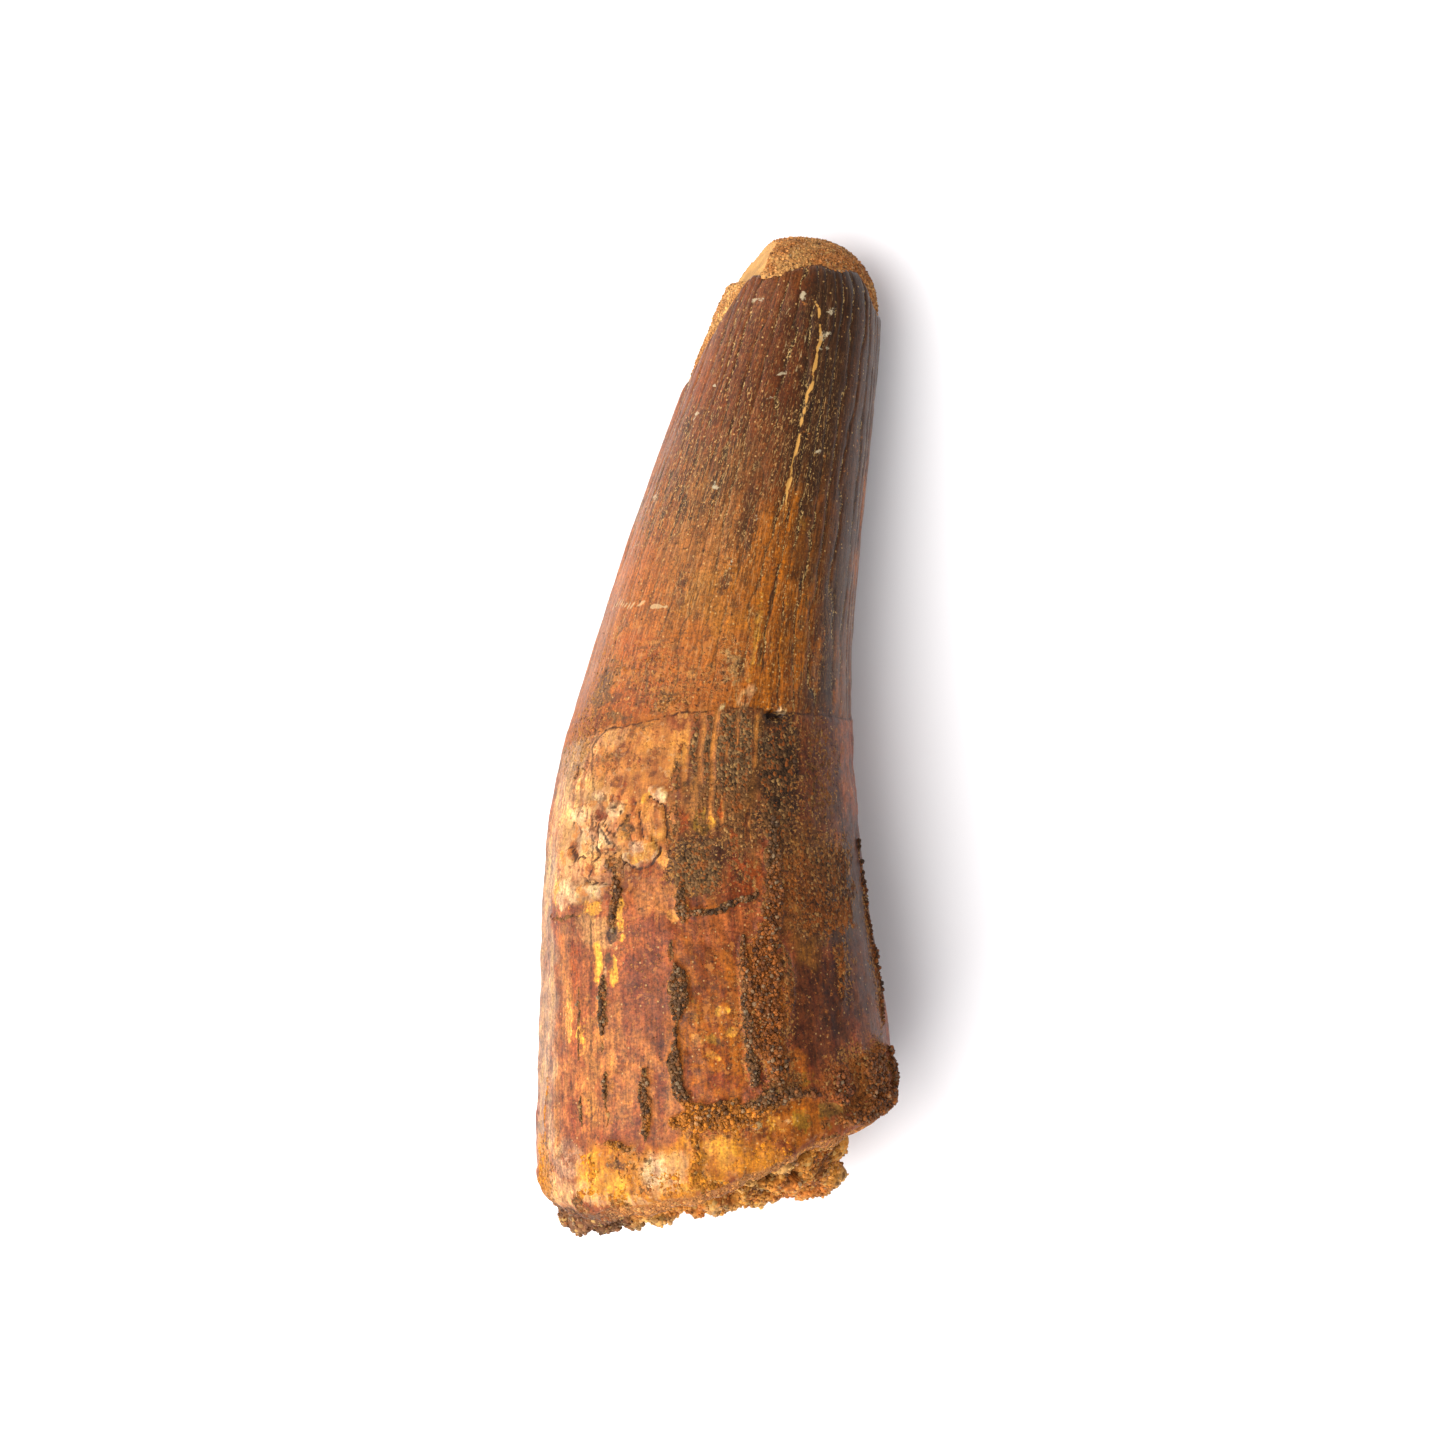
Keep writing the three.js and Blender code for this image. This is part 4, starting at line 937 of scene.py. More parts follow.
def build_tip_sandstone(look):
    angle = crowded(CAP_SEGMENTS)
    tip = tip_break(angle)
    seat = on_break(CAP_INSET, tip)
    up = np.sin(np.radians(np.linspace(0, 88, CAP_RINGS)))[:, None]
    y = seat - 0.15 + (TIP_Y - seat + 0.15) * up
    plain = on_section(CAP_INSET, angle, y)
    middle_of_dome = section(TIP_Y)[0]
    grit = 0.3 * (rough_noise(plain, 1.6, 65) - 0.5) + 0.14 * (rough_noise(plain, 0.42, 66, 3) - 0.5)
    dome = on_section(CAP_INSET, angle, y, grit)
    dome[..., 1] += 0.3 * grit * up
    past = dome @ FLAKE_SCAR_NORMAL - FLAKE_SCAR_PLACE + 0.3 * (rough_noise(dome, 1.5, 67) - 0.5)
    foot = FLAKE_SCAR_FOOT + 0.5 * (rough_noise(dome, 1.2, 64) - 0.5)
    scarred = smoothstep(foot - 0.1, foot + 0.15, dome[..., 1]) * (dome[..., 0] < middle_of_dome)
    dome -= (np.maximum(past, 0) * scarred)[..., None] * FLAKE_SCAR_NORMAL
    dome[..., 2] = np.maximum(dome[..., 2], 0.02)
    under = [on_section(s, angle, on_break(s, tip) + 0.05) for s in (0.3, 0.6, 0.9)]
    rings = np.concatenate([np.array(under), dome])
    piece, ring_of, meridian = lofted("tip_sandstone", rings)

    pigments = look.pigments()
    earth = np.broadcast_to(pigments["tip_sand"], rings.shape).copy()
    outside = earth[len(under):]
    lay(outside, smoothstep(0.4, 0.65, rough_noise(dome, 2.2, 68)) * 0.5, pigments["pale_sand"])
    lay(outside, 0.2 * smoothstep(2.5, 1.0, dome[..., 0]), pigments["pale_sand"])
    scar = smoothstep(-0.05, 0.12, past) * scarred
    fresh = rough_noise(dome, 1.3, 69)[..., None]
    lay(outside, 0.9 * scar, pigments["scar"] * (0.3 + 0.9 * fresh) + (1 - fresh) * 0.25 * pigments["cream"])
    sand = np.concatenate([np.zeros((len(under), CAP_SEGMENTS)), 1 - 0.85 * scar])
    give(piece, "earth", earth[ring_of, meridian])
    give(piece, "sand", sand[ring_of, meridian])
    material = sandstone_material("Fine pale sandstone", 0.2, look)
    finish_piece(piece, material, "pale_sandstone", "tip_sandstone")
    return piece


def strew(name, host, look, slot, *, count, size, standing, least, dark, salt):
    """Sand grains joined in one piece, strewn where the host's "sand" is thick.

    Size is a share of the look's radius, standing how much of a radius the grains stand off, least the
    thinnest "sand" that holds any, and dark the share that manganese has blackened."""
    rng = np.random.default_rng(salt)
    mesh = host.data
    mesh.calc_loop_triangles()
    corner = np.empty(len(mesh.loop_triangles) * 3, int)
    mesh.loop_triangles.foreach_get("vertices", corner)
    corner = corner.reshape(-1, 3)
    # Blender lists a ball's faces in another order each time, so they are put in one order to draw from.
    from_lowest = (corner.argmin(axis=1)[:, None] + np.arange(3)) % 3
    corner = np.take_along_axis(corner, from_lowest, axis=1)
    corner = corner[np.lexsort(corner.T)]
    place = np.empty(len(mesh.vertices) * 3)
    mesh.vertices.foreach_get("co", place)
    place = place.reshape(-1, 3) / MM
    sand, earth = read(host, "sand"), read(host, "earth", 4)[:, :3]
    a, b, c = (place[corner[:, n]] for n in range(3))
    normal = np.cross(b - a, c - a)
    area = np.linalg.norm(normal, axis=1)
    thick = sand[corner].mean(axis=1)
    chance = area * np.where(thick > least, thick, 0) ** 1.5
    chosen = rng.choice(len(corner), size=count, p=chance / chance.sum())
    share = rng.dirichlet((1, 1, 1), count)[..., None]
    middle = (place[corner[chosen]] * share).sum(axis=1)
    tint = (earth[corner[chosen]] * share).sum(axis=1)
    out = normal[chosen] / np.maximum(area[chosen], 1e-9)[:, None]

    deselect()
    bpy.ops.mesh.primitive_ico_sphere_add(subdivisions=1, radius=1)
    grain = bpy.context.object
    knob = np.array([v.co for v in grain.data.vertices])
    sides = np.array([p.vertices for p in grain.data.polygons])
    radius = look.grain_radius / MM * size * np.clip(rng.lognormal(0, 0.38, count), 0.4, 1.8)
    middle = middle + out * (radius * standing)[:, None]
    stretch = rng.uniform(0.7, 1.25, (count, 3)) * radius[:, None]
    spin = np.linalg.qr(rng.normal(size=(count, 3, 3)))[0]
    spin[np.linalg.det(spin) < 0, :, 0] *= -1
    points = np.einsum("nij,nkj->nki", spin, knob[None] * stretch[:, None, :]) + middle[:, None, :]
    points[..., 2] = np.maximum(points[..., 2], 0.0)
    faces = sides[None] + np.arange(count)[:, None, None] * len(knob)
    grain.name = grain.data.name = name
    grain.data.clear_geometry()
    grain.data.from_pydata((points.reshape(-1, 3) * MM).tolist(), [], faces.reshape(-1, 3).tolist())

    # Each grain has the tint under it, in its own shade. Some are clean, some rusty, some blackened.
    tint = tint * rng.uniform(0.5, 1.6, (count, 1)) * (0.6 + 0.8 * rough_noise(middle, 0.7, 19, 2)[:, None])
    for code, share, strength in (("#a8927a", 0.12, 0.5), ("#a8622a", 0.14, 0.5), ("#2c1a0e", dark, 0.7)):
        some = rng.random(count) < share
        tint[some] = (1 - strength) * tint[some] + strength * np.array(srgb(code))
    give(grain, "tint", np.repeat(np.clip(tint, 0, 1), len(knob), axis=0))
    finish_piece(grain, grain_material(look), slot)


# ---------------------------------------------------------------------------------------------
# Materials.

def node(tree, kind, inputs=None, out=0, **settings):
    """Adds a node with its settings, and its inputs' values or links; gives its output."""
    made = tree.nodes.new(kind)
    for name, value in settings.items():
        setattr(made, name, value)
    for socket, value in (inputs or {}).items():
        if isinstance(value, bpy.types.NodeSocket):
            tree.links.new(value, made.inputs[socket])
        else:
            made.inputs[socket].default_value = value
    return made.outputs[out]


def new_material(name):
    material = bpy.data.materials.new(name)
    material.use_nodes = True
    tree = material.node_tree
    return material, tree, tree.nodes["Principled BSDF"]


def laid_on(tree, under, colour, mask, limits, *shares):
    """Lays a colour over another as a mask climbs, less where any share is small.

    The limits are the mask from and to which the cover climbs, and the cover at each. Gives the
    colours, and the cover."""
    low, high, least, most = limits
    cover = node(tree, "ShaderNodeMapRange", {0: mask, 1: low, 2: high, 3: least, 4: most})
    for share in shares:
        cover = node(tree, "ShaderNodeMath", {0: cover, 1: share}, operation="MULTIPLY")
    if isinstance(colour, str):
        colour = (*srgb(colour), 1)
    return node(tree, "ShaderNodeMix", {0: cover, 6: under, 7: colour}, out=2, data_type="RGBA"), cover


def enamel_patterns(tree, place, flute_place):
    """The noises in the enamel's finish: those drawn out along the flutes, and those that aren't."""
    # In millimetres: how much shorter the flutes' length counts, the scale and the detail.
    along = {}
    for name, squeeze, scale, detail in (
        ("lines", 0.08, 3.4, 6), ("bands", 0.02, 0.9, 3), ("stripes", 0.1, 1.3, 5), ("streaks", 0.15, 3.0, 5),
        ("dots", 0.7, 5.5, 3), ("clusters", 0.3, 0.9, 3), ("hairs", 0.12, 5.5, 3), ("dashes", 0.13, 6.5, 4),
        ("flecks", 0.32, 8.0, 2),
    ):
        inputs = {0: flute_place, 1: (1, 1, squeeze)}
        squeezed = node(tree, "ShaderNodeVectorMath", inputs, operation="MULTIPLY")
        inputs = {"Vector": squeezed, "Scale": scale, "Detail": detail, "Roughness": 0.66, "Distortion": 0.3}
        along[name] = node(tree, "ShaderNodeTexNoise", inputs)
    # In metres: lumps of 1.2, 1.8, 0.7, 0.2, 0.9, 0.7, 0.35, 0.27 and 0.6 mm.
    around = {}
    for name, scale, detail, roughness in (
        ("mottling", 850, 8, 0.7), ("hue", 560, 7, 0.68), ("torn", 1500, 6, 0.72), ("pepper", 4400, 3, 0.7),
        ("orange", 1150, 6, 0.68), ("brown", 1390, 6, 0.68), ("dark", 2900, 4, 0.6), ("tan", 3700, 3, 0.6),
        ("clumps", 1700, 4, 0.65),
    ):
        inputs = {"Vector": place, "Scale": scale, "Detail": detail, "Roughness": roughness}
        around[name] = node(tree, "ShaderNodeTexNoise", inputs)
    # What tears the edges of marks goes either side of nought.
    around["torn"] = node(tree, "ShaderNodeMath", {0: around["torn"], 1: 0.5}, operation="SUBTRACT")
    return along, around


def stain(tree, ground, spot, mark, along, around):
    """The ground's colour with its small spots, its changes of strength and hue, and its dust."""
    # Small spots, torn at their edges, lie in the ground.
    inputs = {0: around["torn"], 1: 1.5, 2: mark["spotted"]}
    spotted = node(tree, "ShaderNodeMath", inputs, operation="MULTIPLY_ADD")
    ground, _ = laid_on(tree, ground, spot, spotted, (0.4, 0.56, 0, 0.85))

    # Its strength varies in lines, bands, blotches and specks, and less where it is worn.
    in_lines = node(tree, "ShaderNodeMapRange", {0: along["lines"], 1: 0.32, 2: 0.68, 3: 0.6, 4: 1.4})
    faint = node(tree, "ShaderNodeMath", {0: mark["upper"], 1: -0.4, 2: 0.4}, operation="MULTIPLY_ADD")
    faint = node(tree, "ShaderNodeMath", {0: faint, 1: mark["worn"]}, operation="MAXIMUM")
    in_lines = node(tree, "ShaderNodeMix", {0: faint, 2: in_lines, 3: 1.0})
    in_bands = node(tree, "ShaderNodeMapRange", {0: along["bands"], 1: 0.35, 2: 0.65, 3: 0.86, 4: 1.16})
    in_blotches = node(tree, "ShaderNodeMapRange", {0: around["mottling"], 1: 0.3, 2: 0.7, 3: 0.4, 4: 1.56})
    banded = node(tree, "ShaderNodeMix", {0: 0.4, 2: in_bands, 3: in_blotches})
    gain = node(tree, "ShaderNodeMix", {0: mark["upper"], 2: in_blotches, 3: banded})
    gain = node(tree, "ShaderNodeMath", {0: gain, 1: in_lines}, operation="MULTIPLY")
    drawn_out = node(tree, "ShaderNodeMath", {0: along["hairs"], 1: along["dots"]}, operation="ADD")
    drawn_out = node(tree, "ShaderNodeMath", {0: drawn_out, 1: 0.5}, operation="MULTIPLY")
    peppered = node(tree, "ShaderNodeMix", {0: 0.55, 2: around["pepper"], 3: drawn_out})
    peppered = node(tree, "ShaderNodeMapRange", {0: peppered, 1: 0.36, 2: 0.64, 3: 0.24, 4: 1.96})
    gain = node(tree, "ShaderNodeMath", {0: gain, 1: peppered}, operation="MULTIPLY")
    even = node(tree, "ShaderNodeMath", {0: mark["worn"], 1: 0.5}, operation="MULTIPLY")
    gain = node(tree, "ShaderNodeMix", {0: even, 2: gain, 3: 1.0})
    ground = node(tree, "ShaderNodeVectorMath", {0: ground, "Scale": gain}, operation="SCALE")

    # Its hue leans to maroon here and to yellow there.
    hue = node(tree, "ShaderNodeMix", {0: 0.5, 2: around["hue"], 3: along["stripes"]})
    plain = node(tree, "ShaderNodeMath", {0: mark["upper"], 1: 0.5}, operation="MULTIPLY")
    hue = node(tree, "ShaderNodeMix", {0: plain, 2: hue, 3: 0.5})
    for far, most, tint in ((0.42, 0.85, (0.6, 0.42, 0.42, 1)), (0.58, 0.9, (1.22, 1.26, 0.92, 1))):
        leaning = node(tree, "ShaderNodeMapRange", {0: hue, 1: 0.5, 2: far, 3: 0, 4: most})
        inputs = {0: leaning, 6: ground, 7: tint}
        ground = node(tree, "ShaderNodeMix", inputs, out=2, data_type="RGBA", blend_type="MULTIPLY")

    # Orange spots and dark spots, and pale dust where the surface is worn.
    for name, code in (("orange", "#c87a38"), ("brown", "#5a341c")):
        inputs = {0: mark["blotched"], 1: 0.13, 2: around[name]}
        spots = node(tree, "ShaderNodeMath", inputs, operation="MULTIPLY_ADD")
        ground, _ = laid_on(tree, ground, code, spots, (0.65, 0.7, 0, 0.65))
    return laid_on(tree, ground, "#cda582", around["torn"], (0.06, 0.16, 0, 0.5), mark["worn"])[0]


def streak(tree, ground, mark, along, torn, flute_place):
    """The streaks, the grooves' dark floors and the sand in them, laid on the ground."""
    # Dark streaks and dashes, and pale flecks, in clusters.
    gathered = node(tree, "ShaderNodeMapRange", {0: along["clusters"], 1: 0.4, 2: 0.56, 3: 0.35, 4: 1.0})
    gathered = node(tree, "ShaderNodeMath", {0: gathered, 1: mark["streaked"]}, operation="MULTIPLY")
    for name, limits, code in (
        ("streaks", (0.52, 0.55, 0, 0.95), "#26130a"), ("dashes", (0.5, 0.54, 0, 0.95), "#2a160c"),
        ("flecks", (0.58, 0.63, 0, 0.85), "#d8a870"),
    ):
        ground, _ = laid_on(tree, ground, code, along[name], limits, gathered)

    # The dark floors of the grooves, pale sand caught in some of them, and pale hairs where it is smooth.
    off_groove = node(tree, "ShaderNodeMath", {0: mark["flute_wave"]}, operation="ABSOLUTE")
    off_groove = node(tree, "ShaderNodeMath", {0: torn, 1: 0.5, 2: off_groove}, operation="MULTIPLY_ADD")
    groove = node(tree, "ShaderNodeMapRange", {0: off_groove, 1: 0.24, 2: 0.1, 3: 0, 4: 1})
    groove = node(tree, "ShaderNodeMath", {0: groove, 1: mark["fluted"]}, operation="MULTIPLY")
    ground, _ = laid_on(tree, ground, "#1c0e07", along["streaks"], (0.42, 0.56, 0.1, 0.85), groove)
    ground, _ = laid_on(tree, ground, "#2a150a", off_groove, (0.11, 0.04, 0, 0.6), mark["upper"])
    beads = node(tree, "ShaderNodeTexVoronoi", {"Vector": flute_place, "Scale": 3.4})
    beads = node(tree, "ShaderNodeMapRange", {0: beads, 1: 0.34, 2: 0.22, 3: 0, 4: 1})
    crumbs = node(tree, "ShaderNodeMapRange", {0: along["dots"], 1: 0.55, 2: 0.59, 3: 0, 4: 1})
    beads = node(tree, "ShaderNodeMath", {0: beads, 1: crumbs}, operation="MAXIMUM")
    ground, _ = laid_on(tree, ground, "#dcb67e", along["clusters"], (0.44, 0.56, 0.08, 0.9), beads, groove)
    inputs = {0: mark["fluted"], 1: -0.75, 2: mark["upper"]}
    smooth = node(tree, "ShaderNodeMath", inputs, operation="MULTIPLY_ADD", use_clamp=True)
    return laid_on(tree, ground, "#c4966c", along["hairs"], (0.55, 0.68, 0.08, 0.6), smooth)[0]


def speckle(tree, ground, mark, around, place):
    """Grains stuck on the ground: some dark, some tan, and a few tiny pale ones everywhere."""
    stuck = []
    for name, share, limits, code in (
        ("dark", 0.24, (0.68, 0.75, 0, 0.7), "#3a2614"), ("tan", 0.2, (0.66, 0.73, 0, 0.7), "#c4894c"),
    ):
        inputs = {0: mark["speckled"], 1: share, 2: around[name]}
        grainy = node(tree, "ShaderNodeMath", inputs, operation="MULTIPLY_ADD")
        ground, cover = laid_on(tree, ground, code, grainy, limits)
        stuck.append(cover)
    specks = node(tree, "ShaderNodeTexVoronoi", {"Vector": place, "Scale": 2100})
    speck = node(tree, "ShaderNodeSeparateColor", {0: specks.node.outputs["Color"]}).node.outputs
    some = node(tree, "ShaderNodeMath", {0: mark["streaked"], 1: 0.3, 2: speck[0]}, operation="MULTIPLY_ADD")
    some = node(tree, "ShaderNodeMath", {0: some, 1: 0.74}, operation="GREATER_THAN")
    ground, _ = laid_on(tree, ground, "#dcae76", specks, (0.2, 0.12, 0, 0.7), some)
    return ground, node(tree, "ShaderNodeMath", {0: stuck[0], 1: stuck[1]}, operation="MAXIMUM")


def scratch(tree, ground, mark, around):
    """The vein, the scuffs, the scratches and the cracks on the ground, all torn at their edges."""
    for name, tearing, limits, code in (
        ("yellow", 0.7, (0.77, 0.86, 0, 0.95), "#dca45c"), ("scuffed", 1.6, (0.52, 0.64, 0, 0.85), "#c8b8a4"),
        ("scratched", 0.6, (0.84, 0.96, 0, 0.6), "#d8b890"),
    ):
        inputs = {0: around["torn"], 1: tearing, 2: mark[name]}
        torn = node(tree, "ShaderNodeMath", inputs, operation="MULTIPLY_ADD")
        ground, _ = laid_on(tree, ground, code, torn, limits)
    cut = node(tree, "ShaderNodeMath", {0: around["torn"], 1: 0.3, 2: mark["cut"]}, operation="MULTIPLY_ADD")
    cut = node(tree, "ShaderNodeMapRange", {0: cut, 1: 0.66, 2: 0.8, 3: 0, 4: 0.9})
    # The mended crack shows in places.
    crack = node(tree, "ShaderNodeMath", {0: mark["above_crack"]}, operation="ABSOLUTE")
    crack = node(tree, "ShaderNodeMath", {0: around["torn"], 1: 0.35, 2: crack}, operation="MULTIPLY_ADD")
    crack = node(tree, "ShaderNodeMapRange", {0: crack, 1: 0.13, 2: 0.04, 3: 0, 4: 0.8})
    in_places = node(tree, "ShaderNodeMapRange", {0: around["mottling"], 1: 0.44, 2: 0.54, 3: 0, 4: 1})
    crack = node(tree, "ShaderNodeMath", {0: crack, 1: in_places}, operation="MULTIPLY")
    cut = node(tree, "ShaderNodeMath", {0: cut, 1: crack}, operation="MAXIMUM")
    inputs = {0: cut, 6: ground, 7: (*srgb("#3a1e0f"), 1)}
    return node(tree, "ShaderNodeMix", inputs, out=2, data_type="RGBA")


def enamel_material(look):
    """Fossil enamel: apatite stained by iron and polished by wear, so it is glossy and streaked along
    its flutes, with dull chalky scales where it has flaked and matt sand where crust is stuck on."""
    material, tree, shader = new_material("Iron-stained fossil enamel")
    mark = {
        name: node(tree, "ShaderNodeAttribute", out="Fac", attribute_name=name)
        for name in ("sand", "spotted", "flute_wave", "above_crack", "cut", "yellow", "speckled", "streaked",
                     "scuffed", "scratched", "worn", "upper", "fluted", "blotched")
    }
    ground, spot, earth = (
        node(tree, "ShaderNodeAttribute", out="Color", attribute_name=name)
        for name in ("ground", "spot", "earth")
    )
    flute_place = node(tree, "ShaderNodeAttribute", out="Vector", attribute_name="flute_place")
    place = node(tree, "ShaderNodeTexCoord", out="Object")
    along, around = enamel_patterns(tree, place, flute_place)
    ground = stain(tree, ground, spot, mark, along, around)
    ground = streak(tree, ground, mark, along, around["torn"], flute_place)
    ground, matt = speckle(tree, ground, mark, around, place)
    ground = scratch(tree, ground, mark, around)

    # The crust lies over it all. Each of its grains has a shade, and its edges run between them.
    grains = node(tree, "ShaderNodeTexVoronoi", {"Vector": place, "Scale": 4300})
    grain = node(tree, "ShaderNodeSeparateColor", {0: grains.node.outputs["Color"]}).node.outputs
    clumps = node(tree, "ShaderNodeMapRange", {0: around["clumps"], 1: 0.32, 2: 0.68, 3: 0.35, 4: 1.7})
    shade = node(tree, "ShaderNodeMapRange", {0: grain[0], 1: 0, 2: 1, 3: 0.35, 4: 1.55})
    shade = node(tree, "ShaderNodeMath", {0: shade, 1: clumps}, operation="MULTIPLY")
    earth = node(tree, "ShaderNodeVectorMath", {0: earth, "Scale": shade}, operation="SCALE")
    earth, _ = laid_on(tree, earth, "#cf9f68", grain[2], (0.88, 0.94, 0, 0.55))
    earth, _ = laid_on(tree, earth, "#9c5422", grain[1], (0.74, 0.84, 0, 0.7))
    breakup = around["torn"]
    for pattern in (around["mottling"], along["streaks"]):
        centred = node(tree, "ShaderNodeMath", {0: pattern, 1: 0.5}, operation="SUBTRACT")
        breakup = node(tree, "ShaderNodeMath", {0: breakup, 1: centred}, operation="ADD")
    sandy = node(tree, "ShaderNodeMath", {0: breakup, 1: 0.8, 2: mark["sand"]}, operation="MULTIPLY_ADD")
    sandy = node(tree, "ShaderNodeMath", {0: grain[0], 1: 0.3, 2: sandy}, operation="MULTIPLY_ADD")
    colour, sandy = laid_on(tree, ground, earth, sandy, (0.57, 0.66, 0, 1))
    colour = node(tree, "ShaderNodeVectorMath", {0: colour, 1: look.patina}, operation="MULTIPLY")
    tree.links.new(colour, shader.inputs["Base Color"])

    # The polish is best on the crown, and gone from worn enamel and from sand.
    matt = node(tree, "ShaderNodeMath", {0: matt, 1: sandy}, operation="MAXIMUM")
    dull = node(tree, "ShaderNodeMix", {0: mark["upper"], 2: 0.45, 3: 0.33})
    dull = node(tree, "ShaderNodeMix", {0: mark["worn"], 2: dull, 3: 0.62})
    dull = node(tree, "ShaderNodeMath", {0: breakup, 1: 0.25, 2: dull}, operation="MULTIPLY_ADD")
    dull = node(tree, "ShaderNodeMix", {0: matt, 2: dull, 3: 0.95})
    tree.links.new(dull, shader.inputs["Roughness"])
    shader.inputs["IOR"].default_value = 1.35
    shader.inputs["Specular IOR Level"].default_value = 0.35

    # Fine wrinkles along the flutes, grit in the sand and small pits all over.
    grit = node(tree, "ShaderNodeMath", {0: 0.5, 1: grains}, operation="SUBTRACT")
    grit = node(tree, "ShaderNodeMath", {0: grit, 1: matt}, operation="MULTIPLY")
    normal = node(tree, "ShaderNodeBump", {"Strength": 0.7, "Distance": 0.04 * MM, "Height": along["lines"]})
    for strength, depth, height in ((1.0, 0.16, grit), (0.7, 0.07, around["mottling"])):
        inputs = {"Strength": strength, "Distance": depth * MM, "Height": height, "Normal": normal}
        normal = node(tree, "ShaderNodeBump", inputs)
    tree.links.new(normal, shader.inputs["Normal"])
    return material


def sandstone_material(name, grain_mm, look):
    """Sandstone: quartz grains of one size in iron cement, so it is matt, with each grain its own
    shade, some dark with manganese and a few pale and clean."""
    material, tree, shader = new_material(name)
    place = node(tree, "ShaderNodeTexCoord", out="Object")
    earth = node(tree, "ShaderNodeAttribute", out="Color", attribute_name="earth")
    grains = node(tree, "ShaderNodeTexVoronoi", {"Vector": place, "Scale": 1000 / grain_mm})
    grain = node(tree, "ShaderNodeSeparateColor", {0: grains.node.outputs["Color"]}).node.outputs
    grainy = node(tree, "ShaderNodeAttribute", out="Fac", attribute_name="sand")
    clumps = node(tree, "ShaderNodeTexNoise", {"Vector": place, "Scale": 900, "Detail": 5, "Roughness": 0.68})
    clumps = node(tree, "ShaderNodeMapRange", {0: clumps, 1: 0.3, 2: 0.7, 3: 0.6, 4: 1.45})
    shade = node(tree, "ShaderNodeMapRange", {0: grain[0], 1: 0.0, 2: 1.0, 3: 0.7, 4: 1.3})
    shade = node(tree, "ShaderNodeMath", {0: shade, 1: clumps}, operation="MULTIPLY")
    shade = node(tree, "ShaderNodeMix", {0: grainy, 2: 1.0, 3: shade})
    colour = node(tree, "ShaderNodeVectorMath", {0: earth, "Scale": shade}, operation="SCALE")
    colour, _ = laid_on(tree, colour, "#5c3416", grain[1], (0.78, 0.84, 0, 0.65), grainy)
    colour, _ = laid_on(tree, colour, "#e4b878", grain[2], (0.84, 0.9, 0, 0.6), grainy)
    colour = node(tree, "ShaderNodeVectorMath", {0: colour, 1: look.patina}, operation="MULTIPLY")
    tree.links.new(colour, shader.inputs["Base Color"])
    shader.inputs["Roughness"].default_value = 0.92
    shader.inputs["Specular IOR Level"].default_value = 0.2
    height = node(tree, "ShaderNodeMath", {0: 0.6, 1: grains}, operation="SUBTRACT")
    bump = node(tree, "ShaderNodeBump", {"Strength": 0.9, "Distance": grain_mm * 0.4 * MM, "Height": height})
    tree.links.new(bump, shader.inputs["Normal"])
    return material


def grain_material(look):
    """Loose quartz grains coated with iron oxide: each has its own shade, and a dull glint."""
    material, tree, shader = new_material("Iron-coated quartz grains")
    tint = node(tree, "ShaderNodeAttribute", out="Color", attribute_name="tint")
    place = node(tree, "ShaderNodeTexCoord", out="Object")
    coat = node(tree, "ShaderNodeTexNoise", {"Vector": place, "Scale": 6000, "Detail": 2})
    gain = node(tree, "ShaderNodeMapRange", {0: coat, 1: 0.3, 2: 0.7, 3: 0.75, 4: 1.25})
    colour = node(tree, "ShaderNodeVectorMath", {0: tint, "Scale": gain}, operation="SCALE")
    colour = node(tree, "ShaderNodeVectorMath", {0: colour, 1: look.patina}, operation="MULTIPLY")
    tree.links.new(colour, shader.inputs["Base Color"])
    shader.inputs["Roughness"].default_value = 0.7
    shader.inputs["Specular IOR Level"].default_value = 0.25
    return material


# ---------------------------------------------------------------------------------------------
# The add-on.

def pigment(code, name, description):
    return FloatVectorProperty(
        name=name, description=description, subtype="COLOR", size=3, min=0, max=1, default=srgb(code)
    )


